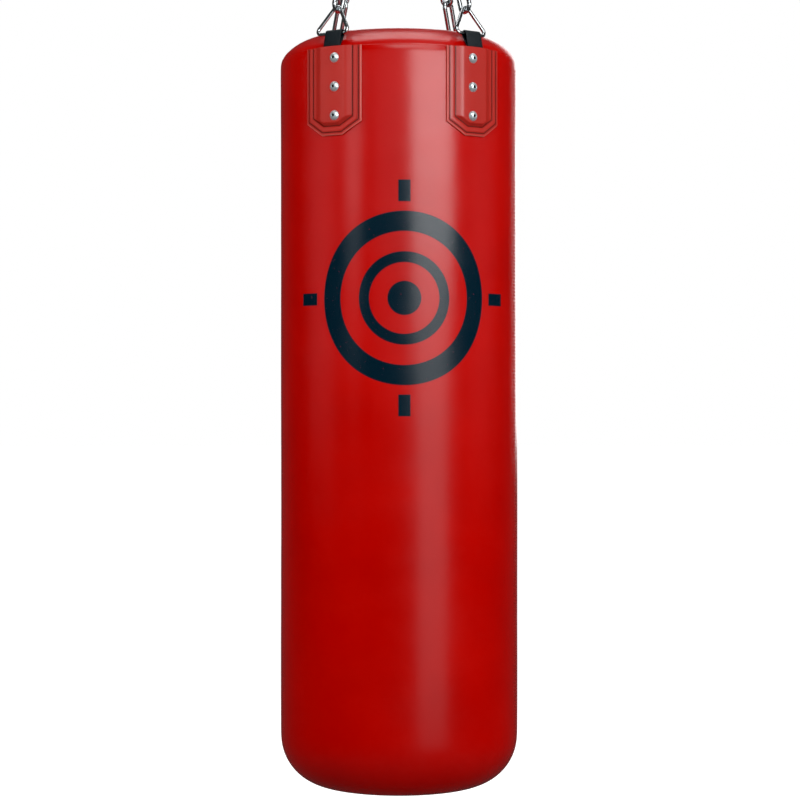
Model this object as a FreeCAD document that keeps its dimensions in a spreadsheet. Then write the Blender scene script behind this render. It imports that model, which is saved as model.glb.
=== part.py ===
import FreeCAD, Part
import math
import os
import Sketcher
from FreeCAD import Placement, Rotation, Vector

# Heavy punching bag on a four-leg chain bridle with a ball-bearing swivel.
# Millimetres. The origin is the centre of the hanging eye's bore, +Z is up, and the bag hangs below.
# The bag's front faces -Y. An azimuth is measured from the front, positive towards +X.
# On the bag, heights are counted from the top seam, where the side panel meets the top panel.

doc = FreeCAD.newDocument("heavy_bag")
sheet = doc.addObject("Spreadsheet::Sheet", "dims")

# ---------------------------------------------------------------- driving dimensions

SIZES = {
    # hanging eye bolt
    "eye_bore_radius": 11.0,
    "eye_outer_radius": 20.0,
    "eye_thickness": 12.0,
    "eye_edge_radius": 2.0,
    "neck_radius": 8.0,
    "collar_radius": 12.0,
    "collar_height": 4.0,
    "collar_drop": 24.0,
    "shank_radius": 6.0,
    "shank_end_length": 9.0,
    "cotter_radius": 1.2,
    "cotter_length": 17.0,
    "cotter_setback": 4.5,
    "nut_corner_radius": 10.9,
    "nut_height": 7.0,
    # swivel bearing and housing
    "seal_thickness": 3.0,
    "seal_radius": 15.0,
    "housing_radius": 19.0,
    "housing_wall": 4.5,
    "housing_roof": 5.0,
    "housing_chamfer": 2.0,
    "ball_radius": 2.5,
    "ball_count": 12,
    "ball_circle_radius": 10.2,
    "race_thickness": 3.0,
    "race_half_gap": 1.0,
    "plug_height": 7.0,
    "plug_flange_height": 3.0,
    # lower eye of the swivel
    "lower_bore_radius": 9.0,
    "lower_outer_radius": 16.0,
    "lower_thickness": 12.0,
    "lower_neck_length": 4.0,
    # master ring
    "master_wire_radius": 4.0,
    "master_arch_radius": 26.0,
    "master_side_length": 6.0,
    "master_corner_radius": 8.0,
    "master_link_spacing": 8.6,
    # chain
    "link_wire_radius": 2.5,
    "link_inner_length": 30.2,
    "link_inner_width": 10.0,
    "links_per_leg": 12,
    # snap hooks
    "hook_wire_radius": 3.0,
    "hook_length": 54.0,
    "hook_bend_radius": 9.0,
    "gate_pin_height": 13.0,
    "gate_pin_radius": 1.0,
    "gate_end_height": 40.0,
    "gate_tongue_thickness": 2.2,
    "gate_nose_length": 3.5,
    "gate_spring_length": 8.0,
    "gate_spring_radius": 1.1,
    # triangle rings
    "ring_wire_radius": 2.5,
    "ring_base_margin": 4.5,
    "ring_height": 39.0,
    "ring_front_left_shift": -5.0,
    # straps, patches and rivets
    "strap_azimuth": 35.0,
    "strap_width": 25.0,
    "strap_thickness": 2.4,
    "strap_length": 104.0,
    "strap_bar_height": 18.0,
    "strap_bar_inset": 6.0,
    "patch_width": 84.0,
    "patch_height": 115.0,
    "patch_corner_across": 27.0,
    "patch_corner_up": 17.0,
    "patch_thickness": 2.2,
    "patch_raised_width": 40.0,
    "patch_raised_height": 109.0,
    "patch_raised_corner": 12.0,
    "rivet_head_radius": 7.0,
    "rivet_head_height": 3.0,
    "rivet_shank_radius": 2.0,
    "rivet_first_drop": 15.5,
    "rivet_spacing": 36.9,
    "washer_radius": 7.0,
    "washer_thickness": 1.0,
    "rivet_tail_radius": 3.2,
    "rivet_tail": 1.2,
    "rivet_dimple_radius": 1.6,
    "rivet_dimple_depth": 1.2,
    # bag
    "bag_radius": 160.0,
    "bag_depth": 976.0,
    "top_rise": 29.0,
    "shoulder_width": 56.0,
    "shoulder_drop": 10.0,
    "bottom_corner_radius": 68.0,
    "bottom_disc_radius": 84.0,
    "leather_thickness": 1.6,
    "liner_thickness": 1.0,
    "foam_thickness": 15.0,
    "top_pad_radius": 141.0,
    "top_pad_edge_inset": 31.0,
    "top_pad_edge_drop": 19.5,
    "bottom_pad_thickness": 30.0,
    "pad_gap": 3.9,
    "foam_drop": 12.0,
    # zip in the top panel
    "zip_length": 186.0,
    "zip_opening": 9.0,
    "zip_tape_width": 15.0,
    "zip_tape_thickness": 1.0,
    "zip_tape_overhang": 8.0,
    "zip_half_gap": 0.6,
    "tooth_pitch": 3.1,
    "tooth_length": 2.0,
    "tooth_width": 2.2,
    "tooth_height": 2.4,
    "slider_length": 14.0,
    "slider_width": 7.6,
    "slider_plate": 1.5,
    "slider_neck": 0.9,
    "slider_start": 84.0,
    "slider_neck_length": 4.0,
    "bridge_length": 8.0,
    "bridge_width": 2.4,
    "bridge_wall": 1.2,
    "pull_bar_radius": 0.8,
    "pull_length": 26.0,
    "pull_width": 8.0,
    "pull_thickness": 1.2,
    # clearances
    "shaft_clearance": 0.06,
    "rolling_clearance": 0.1,
    "running_gap": 0.2,
    "hang_clearance": 0.2,
    "link_slack": 0.1,
    "cloth_gap": 0.2,
    "loop_clearance": 0.6,
    "gate_end_gap": 0.5,
    "slider_clearance": 0.25,
    "plug_clearance": 2.0,
    "race_play": 0.3,
    "arch_play": 0.3,
    "race_bore_play": 0.5,
    "hole_play": 0.1,
    "washer_play": 0.05,
    "tongue_gap": 0.15,
    "tongue_inset": 0.4,
    "nose_slot_play": 0.4,
    "pocket_play": 0.5,
    "tail_play": 0.8,
    "pull_side_play": 0.4,
    "pull_end_play": 1.2,
    # small edges, and how far a cutting tool or a joined piece runs past a face
    "shank_chamfer": 1.0,
    "seal_lip": 1.0,
    "flange_chamfer": 1.5,
    "eye_bolt_neck_overlap": 1.5,
    "lower_neck_overlap": 1.0,
    "overlap": 1.0,
    "tool_reach": 2.0,
    "drill_reach": 5.0,
    "strap_split_height": 2.0,
}

for row, (alias, amount) in enumerate(SIZES.items(), start=1):
    sheet.set(f"A{row}", alias)
    sheet.set(f"B{row}", str(amount))
    sheet.setAlias(f"B{row}", alias)
doc.recompute()


class Size:
    """A length together with the expression that gives it, so that both are written once."""

    def __init__(self, value, text):
        self.value = float(value)
        self.text = text

    def __float__(self):
        return self.value

    def __neg__(self):
        return Size(-self.value, f"-({self.text})")

    def __add__(self, other):
        return Size(self.value + float(other), f"({self.text} + {text_of(other)})")

    def __radd__(self, other):
        return Size(float(other) + self.value, f"({text_of(other)} + {self.text})")

    def __sub__(self, other):
        return Size(self.value - float(other), f"({self.text} - {text_of(other)})")

    def __rsub__(self, other):
        return Size(float(other) - self.value, f"({text_of(other)} - {self.text})")

    def __mul__(self, other):
        return Size(self.value * float(other), f"({self.text} * {text_of(other)})")

    def __rmul__(self, other):
        return Size(self.value * float(other), f"({text_of(other)} * {self.text})")

    def __truediv__(self, other):
        return Size(self.value / float(other), f"({self.text} / {text_of(other)})")

    def root(self):
        return Size(math.sqrt(self.value), f"sqrt({self.text})")


def text_of(amount):
    """The expression of a size, or a plain number written out."""
    return amount.text if isinstance(amount, Size) else repr(float(amount))


def size(alias):
    """The size held in the cell of that name."""
    return Size(sheet.get(alias), f"dims.{alias}")


def count(alias):
    """A whole number held in the cell of that name."""
    return int(round(sheet.get(alias)))


# ---------------------------------------------------------------- drawing and feature helpers


def bind(feature, **amounts):
    """Binds each named property of a feature to its expression."""
    for name, amount in amounts.items():
        feature.setExpression(name, text_of(amount))


def new_body(name):
    """A PartDesign body whose label names its file."""
    body = doc.addObject("PartDesign::Body", name)
    body.Label = name
    return body


def new_sketch(body, plane, name):
    """A sketch on one of the body's own origin planes."""
    sketch = body.newObject("Sketcher::SketchObject", f"{body.Name}_{name}")
    for feature in body.Origin.OriginFeatures:
        if feature.Role == plane:
            sketch.AttachmentSupport = [(feature, "")]
    sketch.MapMode = "FlatFace"
    return sketch


def hold(sketch, kind, amount, *where):
    """Adds one dimension and binds it. A coordinate of exactly zero holds the point to its axis."""
    if isinstance(amount, Size):
        index = sketch.addConstraint(Sketcher.Constraint(kind, *where, float(amount)))
        sketch.setExpression(f"Constraints[{index}]", amount.text)
        return
    axis = {"DistanceX": -2, "DistanceY": -1}[kind]
    sketch.addConstraint(Sketcher.Constraint("PointOnObject", where[-2], where[-1], axis))


def draw_outline(sketch, corners, closed=True):
    """Draws edges through corners given as (across, up). A corner given as (across, up, radius, turn)
    starts an arc: turn is 1 for an arc that runs anticlockwise and -1 for one that runs clockwise."""
    places = [Vector(float(corner[0]), float(corner[1]), 0) for corner in corners]
    edge_total = len(corners) if closed else len(corners) - 1
    ends = []
    for number in range(edge_total):
        start = places[number]
        end = places[(number + 1) % len(places)]
        corner = corners[number]
        if len(corner) == 2:
            edge = sketch.addGeometry(Part.LineSegment(start, end), False)
            ends.append((edge, 1, 2))
            continue
        radius = float(corner[2])
        turn = corner[3]
        chord = end - start
        reach = math.sqrt(max(radius**2 - (chord.Length / 2) ** 2, 0.0))
        left = Vector(-chord.y, chord.x, 0).normalize()
        centre = (start + end) * 0.5 + left * (turn * reach)
        first, last = (start, end) if turn > 0 else (end, start)
        angle_a = math.atan2(first.y - centre.y, first.x - centre.x)
        angle_b = math.atan2(last.y - centre.y, last.x - centre.x)
        if angle_b <= angle_a:
            angle_b += 2 * math.pi
        circle = Part.Circle(centre, Vector(0, 0, 1), radius)
        edge = sketch.addGeometry(Part.ArcOfCircle(circle, angle_a, angle_b), False)
        ends.append((edge, 1, 2) if turn > 0 else (edge, 2, 1))
        hold(sketch, "Radius", corner[2], edge)
    for number in range(edge_total if closed else edge_total - 1):
        edge, _, tail = ends[number]
        following, head, _ = ends[(number + 1) % edge_total]
        sketch.addConstraint(Sketcher.Constraint("Coincident", edge, tail, following, head))
    for number, corner in enumerate(corners):
        if number < edge_total:
            edge, point, _ = ends[number]
        else:
            edge, _, point = ends[-1]
        hold(sketch, "DistanceX", corner[0], -1, 1, edge, point)
        hold(sketch, "DistanceY", corner[1], -1, 1, edge, point)


def draw_circle(sketch, across, up, radius):
    """Draws one circle with its centre and radius bound."""
    centre = Vector(float(across), float(up), 0)
    edge = sketch.addGeometry(Part.Circle(centre, Vector(0, 0, 1), float(radius)), False)
    hold(sketch, "Radius", radius, edge)
    hold(sketch, "DistanceX", across, -1, 1, edge, 3)
    hold(sketch, "DistanceY", up, -1, 1, edge, 3)


def revolve(body, corners, name="turned"):
    """Turns an outline in the XZ plane about Z."""
    sketch = new_sketch(body, "XZ_Plane", f"{name}_outline")
    draw_outline(sketch, corners)
    feature = body.newObject("PartDesign::Revolution", f"{body.Name}_{name}")
    feature.Profile = sketch
    feature.ReferenceAxis = (sketch, ["V_Axis"])
    feature.Angle = 360.0
    return feature


def pad(body, sketch, length, name):
    """A pad that reaches half its length to each side of its sketch."""
    feature = body.newObject("PartDesign::Pad", f"{body.Name}_{name}")
    feature.Profile = sketch
    feature.Midplane = True
    bind(feature, Length=length)
    return feature


def pocket_through(body, sketch, name):
    """A pocket through the whole body, both ways from its sketch."""
    before = body_volume(body)
    feature = body.newObject("PartDesign::Pocket", f"{body.Name}_{name}")
    feature.Profile = sketch
    feature.Type = "ThroughAll"
    feature.Midplane = True
    if body_volume(body) > before - 1e-3:
        raise RuntimeError(f"{feature.Name} cut nothing")
    return feature


def body_volume(body):
    """The body's volume after a recompute."""
    doc.recompute()
    return body.Shape.Volume


def pipe(body, corners, wire_radius, name, closed=True):
    """Round wire along a path in the XZ plane. The path's first corner lies on the Z axis, where it runs
    along X, so that the wire's section stands on the YZ plane."""
    path = new_sketch(body, "XZ_Plane", f"{name}_path")
    draw_outline(path, corners, closed)
    section = new_sketch(body, "YZ_Plane", f"{name}_section")
    draw_circle(section, 0, corners[0][1], wire_radius)
    feature = body.newObject("PartDesign::AdditivePipe", f"{body.Name}_{name}")
    feature.Profile = section
    feature.Spine = path
    return feature


def fillet_circles(body, base, radii, amount, name):
    """Rounds every full circular edge of the base feature that has one of these radii."""
    doc.recompute()
    chosen = []
    for number, edge in enumerate(base.Shape.Edges, start=1):
        if hasattr(edge.Curve, "Radius"):
            if any(abs(edge.Curve.Radius - float(radius)) < 1e-6 for radius in radii):
                chosen.append(f"Edge{number}")
    feature = body.newObject("PartDesign::Fillet", f"{body.Name}_{name}")
    feature.Base = (base, chosen)
    bind(feature, Radius=amount)
    return feature


def cylinder(name, radius, height, placement):
    """A Part cylinder with its size bound, standing on its placement."""
    feature = doc.addObject("Part::Cylinder", name)
    bind(feature, Radius=radius, Height=height)
    feature.Placement = placement
    return feature


def block(name, length, width, height, placement):
    """A Part box with its size bound, its near lower corner on its placement."""
    feature = doc.addObject("Part::Box", name)
    bind(feature, Length=length, Width=width, Height=height)
    feature.Placement = placement
    return feature


def boolean(kind, name, base, tool, placement=None):
    """A Part::Cut, Part::Fuse or Part::Common of two features."""
    feature = doc.addObject(f"Part::{kind}", name)
    feature.Base = base
    feature.Tool = tool
    if placement is not None:
        feature.Placement = placement
    return feature


def compound(name, members, placement=None):
    """Several separate solids kept as one sub-part."""
    feature = doc.addObject("Part::Compound", name)
    feature.Links = members
    if placement is not None:
        feature.Placement = placement
    return feature


def at(across=0.0, back=0.0, up=0.0, rotation=None):
    """A placement from plain numbers or sizes."""
    return Placement(Vector(float(across), float(back), float(up)), rotation or Rotation())


def azimuth_rotation(azimuth):
    """Turns the front, -Y, towards +X by the azimuth."""
    return Rotation(Vector(0, 0, 1), azimuth)


subparts = []


def keep(feature, label=None):
    """Counts a feature as a sub-part of the bag."""
    if label is not None:
        feature.Label = label
    subparts.append(feature)
    return feature


# ---------------------------------------------------------------- sizes that several pieces share

collar_bottom = size("collar_drop") + size("collar_height")
housing_top = collar_bottom + size("running_gap") + size("seal_thickness")
housing_ceiling = housing_top + size("housing_roof")
ball_level = housing_ceiling + size("race_thickness") + size("race_half_gap")
nut_top = ball_level + size("race_half_gap") + size("race_thickness")
shank_end = nut_top + size("nut_height") + size("shank_end_length")
plug_top = shank_end + size("plug_clearance")
housing_bottom = plug_top + size("plug_height")
cavity_radius = size("housing_radius") - size("housing_wall")
race_outer = cavity_radius - size("race_play")
flange_bottom = housing_bottom + size("plug_flange_height")
lower_eye_level = flange_bottom + size("lower_neck_length") + size("lower_outer_radius")

# The arch sags below the bore's centre until its wire all but rests on the bore's lower wall.
half_bore = float(size("lower_thickness")) / 2 - float(size("eye_edge_radius"))
arch = size("master_arch_radius")
arch_sagitta = float(arch) - math.sqrt(float(arch) ** 2 - half_bore**2)
arch_sag = size("lower_bore_radius") - size("master_wire_radius") - arch_sagitta - size("arch_play")
arch_centre_z = -(float(lower_eye_level) + float(arch_sag) + float(arch))
master_bar_drop = size("master_side_length") + size("master_corner_radius")
bar_z = arch_centre_z - float(master_bar_drop)

link_bend = (size("link_inner_width") + 2 * size("link_wire_radius")) / 2
link_half_straight = size("link_inner_length") / 2 - (link_bend - size("link_wire_radius"))
link_half_length = link_half_straight + link_bend

# Along a leg, measured up from the triangle ring's base bar.
hook_foot = (
    size("ring_height")
    - size("ring_wire_radius")
    - size("hook_wire_radius")
    - size("hang_clearance")
)
hook_head = hook_foot + size("hook_length")
first_link_foot = (
    hook_head - size("hook_wire_radius") - size("link_wire_radius") - size("hang_clearance")
)
first_link_centre = float(first_link_foot + link_half_length)
last_link_to_bar = float(
    link_half_length
    - size("link_wire_radius")
    - size("master_wire_radius")
    - size("hang_clearance")
)
link_total = count("links_per_leg")
longest_pitch = float(size("link_inner_length") - size("link_slack"))
longest_leg = first_link_centre + (link_total - 1) * longest_pitch + last_link_to_bar

bag_radius = size("bag_radius")
strap_bar_radius = bag_radius - size("strap_bar_inset")
strap_azimuth = float(size("strap_azimuth"))
link_spacing = float(size("master_link_spacing"))

LEGS = {
    "front_left": (-strap_azimuth, -0.5 * link_spacing, float(size("ring_front_left_shift"))),
    "front_right": (strap_azimuth, 1.5 * link_spacing, 0.0),
    "rear_left": (strap_azimuth - 180.0, -1.5 * link_spacing, 0.0),
    "rear_right": (180.0 - strap_azimuth, 0.5 * link_spacing, 0.0),
}


def bar_place(azimuth, shift):
    """The level place of a triangle ring's base bar, and the tangent that the bar follows."""
    turn = math.radians(azimuth)
    tangent = Vector(math.cos(turn), math.sin(turn), 0)
    outward = Vector(math.sin(turn), -math.cos(turn), 0)
    return outward * float(strap_bar_radius) + tangent * shift, tangent


def level_reach(azimuth, link_x, shift):
    """How far a leg's top and bottom are apart, seen from above."""
    return (Vector(link_x, 0, 0) - bar_place(azimuth, shift)[0]).Length


widest_reach = max(level_reach(*leg) for leg in LEGS.values())
bars_z = bar_z - math.sqrt(longest_leg**2 - widest_reach**2)
seam_z = bars_z - float(size("strap_bar_height"))


class Leg:
    """One leg of the bridle: its axis from the base bar up to the master ring, and its cross directions."""

    def __init__(self, azimuth, link_x, shift):
        foot, self.tangent = bar_place(azimuth, shift)
        self.azimuth = azimuth
        self.foot = foot + Vector(0, 0, bars_z)
        self.head = Vector(link_x, 0, bar_z)
        span = self.head - self.foot
        self.length = span.Length
        self.along = span.normalize()
        self.across = (self.tangent - self.along * self.tangent.dot(self.along)).normalize()
        self.outward = self.across.cross(self.along)
        straight = self.length - first_link_centre - last_link_to_bar
        self.pitch = straight / (link_total - 1)

    def place(self, distance, side):
        """A placement with its X along side and its Z along the leg."""
        turned = Rotation(side, self.along.cross(side), self.along, "ZXY")
        return Placement(self.foot + self.along * distance, turned)


legs = {name: Leg(*leg) for name, leg in LEGS.items()}

# ---------------------------------------------------------------- hanging eye bolt, nut and cotter pin

eye_bolt = keep(new_body("hanging_eye_bolt"))
eye_sketch = new_sketch(eye_bolt, "XZ_Plane", "eye_ring")
draw_circle(eye_sketch, 0, 0, size("eye_outer_radius"))
draw_circle(eye_sketch, 0, 0, size("eye_bore_radius"))
eye_ring = pad(eye_bolt, eye_sketch, size("eye_thickness"), "eye")
fillet_circles(
    eye_bolt,
    eye_ring,
    (size("eye_outer_radius"), size("eye_bore_radius")),
    size("eye_edge_radius"),
    "eye_edges",
)
neck_top = -(size("eye_bore_radius") + size("eye_edge_radius") + size("eye_bolt_neck_overlap"))
revolve(
    eye_bolt,
    [
        (0, neck_top),
        (size("neck_radius"), neck_top),
        (size("neck_radius"), -size("collar_drop")),
        (size("collar_radius"), -size("collar_drop")),
        (size("collar_radius"), -collar_bottom),
        (size("shank_radius"), -collar_bottom),
        (size("shank_radius"), -(shank_end - size("shank_chamfer"))),
        (size("shank_radius") - size("shank_chamfer"), -shank_end),
        (0, -shank_end),
    ],
    "shank",
)
cotter_level = shank_end - size("cotter_setback")
cotter_hole = new_sketch(eye_bolt, "XZ_Plane", "cotter_hole")
draw_circle(cotter_hole, 0, -cotter_level, size("cotter_radius") + size("hole_play"))
pocket_through(eye_bolt, cotter_hole, "cotter_pocket")

nut_blank = doc.addObject("Part::Prism", "nut_blank")
nut_blank.Polygon = 6
bind(nut_blank, Circumradius=size("nut_corner_radius"), Height=size("nut_height"))
nut_hole = cylinder("nut_hole", size("shank_radius"), size("nut_height"), at())
keep(
    boolean("Cut", "eye_bolt_nut", nut_blank, nut_hole, at(up=-(nut_top + size("nut_height")))),
)

cotter_turn = Rotation(Vector(1, 0, 0), 90)
cotter_shank = cylinder(
    "cotter_shank",
    size("cotter_radius"),
    size("cotter_length"),
    at(back=size("cotter_length") / 2, rotation=cotter_turn),
)
cotter_eye = doc.addObject("Part::Torus", "cotter_eye")
COTTER_EYE_RATIO = 1.8
bind(cotter_eye, Radius1=size("cotter_radius") * COTTER_EYE_RATIO, Radius2=size("cotter_radius"))
cotter_eye.Placement = at(
    back=size("cotter_length") / 2 + size("cotter_radius"), rotation=Rotation(Vector(0, 1, 0), 90)
)
keep(boolean("Fuse", "cotter_pin", cotter_shank, cotter_eye, at(up=-cotter_level)))

# ---------------------------------------------------------------- swivel bearing and housing

race_bore = size("shank_radius") + size("shaft_clearance")
groove_radius = size("ball_radius") + size("rolling_clearance")
groove_half_width = (
    groove_radius * groove_radius - size("race_half_gap") * size("race_half_gap")
).root()


def race(name, bore, outer, side):
    """A bearing race above (side 1) or below (side -1) the balls' centres."""
    body = keep(new_body(name))
    near = side * size("race_half_gap")
    far = side * (size("race_half_gap") + size("race_thickness"))
    circle = size("ball_circle_radius")
    revolve(
        body,
        [
            (bore, far),
            (bore, near),
            (circle - groove_half_width, near, groove_radius, -side),
            (circle + groove_half_width, near),
            (outer, near),
            (outer, far),
        ],
    )
    body.Placement = at(up=-ball_level)
    return body


race("upper_race", race_bore + size("race_bore_play"), cavity_radius, 1)
race("lower_race", size("shank_radius"), race_outer, -1)

balls = []
for number in range(count("ball_count")):
    turn = 2 * math.pi * number / count("ball_count")
    ball = doc.addObject("Part::Sphere", f"ball_{number}")
    bind(ball, Radius=size("ball_radius"))
    ring_radius = float(size("ball_circle_radius"))
    ball.Placement = at(ring_radius * math.cos(turn), ring_radius * math.sin(turn))
    balls.append(ball)
keep(compound("bearing_balls", balls, at(up=-ball_level)))

seal = keep(new_body("dust_seal"))
revolve(
    seal,
    [
        (race_bore, -housing_top),
        (size("seal_radius"), -housing_top),
        (size("seal_radius") - size("seal_lip"), -housing_top + size("seal_thickness")),
        (race_bore, -housing_top + size("seal_thickness")),
    ],
)

housing = keep(new_body("swivel_housing"))
revolve(
    housing,
    [
        (race_bore, -housing_top),
        (size("housing_radius") - size("housing_chamfer"), -housing_top),
        (size("housing_radius"), -(housing_top + size("housing_chamfer"))),
        (size("housing_radius"), -(housing_bottom - size("housing_chamfer") / 2)),
        (size("housing_radius") - size("housing_chamfer") / 2, -housing_bottom),
        (cavity_radius, -housing_bottom),
        (cavity_radius, -housing_ceiling),
        (race_bore, -housing_ceiling),
    ],
)

lower_eye = keep(new_body("lower_eye"))
lower_sketch = new_sketch(lower_eye, "YZ_Plane", "eye_ring")
draw_circle(lower_sketch, 0, 0, size("lower_outer_radius"))
draw_circle(lower_sketch, 0, 0, size("lower_bore_radius"))
lower_ring = pad(lower_eye, lower_sketch, size("lower_thickness"), "eye")
fillet_circles(
    lower_eye,
    lower_ring,
    (size("lower_outer_radius"), size("lower_bore_radius")),
    size("eye_edge_radius"),
    "eye_edges",
)
neck_foot = size("lower_bore_radius") + size("eye_edge_radius") + size("lower_neck_overlap")
revolve(
    lower_eye,
    [
        (0, neck_foot),
        (size("neck_radius"), neck_foot),
        (size("neck_radius"), lower_eye_level - flange_bottom),
        (size("housing_radius") - size("flange_chamfer"), lower_eye_level - flange_bottom),
        (size("housing_radius"), lower_eye_level - flange_bottom + size("flange_chamfer")),
        (size("housing_radius"), lower_eye_level - housing_bottom),
        (cavity_radius, lower_eye_level - housing_bottom),
        (cavity_radius, lower_eye_level - plug_top),
        (0, lower_eye_level - plug_top),
    ],
    "plug",
)
lower_eye.Placement = at(up=-lower_eye_level)

# ---------------------------------------------------------------- master ring

master_ring = keep(new_body("master_ring"))
side_length = size("master_side_length")
corner = size("master_corner_radius")
pipe(
    master_ring,
    [
        (0, arch, arch, -1),
        (arch, 0),
        (arch, -side_length, corner, -1),
        (arch - corner, -master_bar_drop),
        (corner - arch, -master_bar_drop, corner, -1),
        (-arch, -side_length),
        (-arch, 0, arch, -1),
    ],
    size("master_wire_radius"),
    "wire",
)
master_ring.Placement = at(up=arch_centre_z)

# ---------------------------------------------------------------- chain legs

link_pattern = new_body("link_pattern")
pipe(
    link_pattern,
    [
        (0, link_half_length, link_bend, -1),
        (link_bend, link_half_straight),
        (link_bend, -link_half_straight, link_bend, -1),
        (0, -link_half_length, link_bend, -1),
        (-link_bend, -link_half_straight),
        (-link_bend, link_half_straight, link_bend, -1),
    ],
    size("link_wire_radius"),
    "wire",
)
doc.recompute()
link_shape = link_pattern.Shape.copy()


def chain(name, leg):
    """Separate links along a leg. Each stands a quarter turn from the last, and the chain twists evenly, so
    that the lowest link lies across the snap hook and the highest one stands across the master ring's bar."""
    last_side = leg.along.cross(Vector(1, 0, 0)).normalize()
    turned = math.degrees(
        math.atan2(leg.along.dot(leg.across.cross(last_side)), leg.across.dot(last_side))
    )
    quarter = 90.0 * (link_total - 1)
    twist = (turned - quarter + 90.0) % 180.0 - 90.0
    links = []
    for number in range(link_total):
        angle = 90.0 * number + twist * number / (link_total - 1)
        side = Rotation(leg.along, angle).multVec(leg.across)
        link = link_shape.copy()
        link.Placement = leg.place(first_link_centre + number * leg.pitch, side)
        links.append(link)
    feature = doc.addObject("Part::Feature", name)
    feature.Shape = Part.makeCompound(links)
    feature.Placement = Placement()
    return keep(feature)


for leg_name, leg in legs.items():
    chain(f"chain_{leg_name}", leg)

# ---------------------------------------------------------------- triangle rings

# The corners' inner radius is the snap hook's wire, so that the hook seats in the top one.
half_base = size("strap_width") / 2 + size("ring_base_margin")
ring_corner = size("ring_wire_radius") + size("hook_wire_radius")
ring_top = size("ring_height")


def triangle_ring(name, leg):
    """A wire triangle: a straight base bar for the strap and a rounded top for the snap hook."""
    top_centre = float(ring_top - ring_corner)
    foot_centre_x = float(half_base)
    rise = top_centre - float(ring_corner)
    slant = math.atan2(rise, foot_centre_x)
    side_x = ring_corner * math.sin(slant)
    side_up = ring_corner * math.cos(slant)
    body = keep(new_body(name))
    pipe(
        body,
        [
            (0, ring_top, ring_corner, -1),
            (side_x, ring_top - ring_corner + side_up),
            (half_base + side_x, ring_corner + side_up, ring_corner, -1),
            (half_base, 0),
            (-half_base, 0, ring_corner, -1),
            (-(half_base + side_x), ring_corner + side_up),
            (-side_x, ring_top - ring_corner + side_up, ring_corner, -1),
        ],
        size("ring_wire_radius"),
        "wire",
    )
    body.Placement = leg.place(0.0, leg.across)
    return body


for leg_name, leg in legs.items():
    triangle_ring(f"triangle_ring_{leg_name}", leg)

# ---------------------------------------------------------------- snap hooks, gates, pins and springs

hook_bend = size("hook_bend_radius")
hook_wire = size("hook_wire_radius")
pin_height = size("gate_pin_height")
ear_gap = size("running_gap")
stub_end = pin_height - hook_wire - ear_gap
nose_end = size("gate_end_height") + size("gate_end_gap")
slot_width = size("gate_tongue_thickness") + 2 * size("tongue_gap")
upright = Rotation()
across_turn = Rotation(Vector(1, 0, 0), 90)


def snap_hook(name, leg):
    """An oval hook of round wire. A flat tongue on its stub carries the gate's pin, and one on its nose
    enters the gate's slot."""
    body = keep(new_body(name))
    pipe(
        body,
        [(0, 0, hook_bend, 1), (hook_bend, hook_bend), (hook_bend, stub_end)],
        hook_wire,
        "stub",
        closed=False,
    )
    pipe(
        body,
        [
            (0, 0, hook_bend, -1),
            (-hook_bend, hook_bend),
            (-hook_bend, size("hook_length") - hook_bend, hook_bend, -1),
            (0, size("hook_length"), hook_bend, -1),
            (hook_bend, size("hook_length") - hook_bend),
            (hook_bend, nose_end),
        ],
        hook_wire,
        "back",
        closed=False,
    )
    half_tongue = hook_wire - size("tongue_inset")
    stub_tongue = new_sketch(body, "XZ_Plane", "stub_tongue")
    draw_outline(
        stub_tongue,
        [
            (hook_bend - half_tongue, stub_end - size("overlap")),
            (hook_bend + half_tongue, stub_end - size("overlap")),
            (hook_bend + half_tongue, pin_height, half_tongue, 1),
            (hook_bend - half_tongue, pin_height),
        ],
    )
    pad(body, stub_tongue, size("gate_tongue_thickness"), "stub_tongue_pad")
    nose_tongue = new_sketch(body, "XZ_Plane", "nose_tongue")
    nose_tip = nose_end - size("gate_nose_length")
    draw_outline(
        nose_tongue,
        [
            (hook_bend - half_tongue, nose_tip),
            (hook_bend + half_tongue, nose_tip),
            (hook_bend + half_tongue, nose_end + size("overlap")),
            (hook_bend - half_tongue, nose_end + size("overlap")),
        ],
    )
    pad(body, nose_tongue, size("gate_tongue_thickness"), "nose_tongue_pad")
    pin_hole = new_sketch(body, "XZ_Plane", "pin_hole")
    draw_circle(pin_hole, hook_bend, pin_height, size("gate_pin_radius"))
    pocket_through(body, pin_hole, "pin_pocket")
    body.Placement = leg.place(float(hook_foot), leg.outward)
    return body


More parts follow.
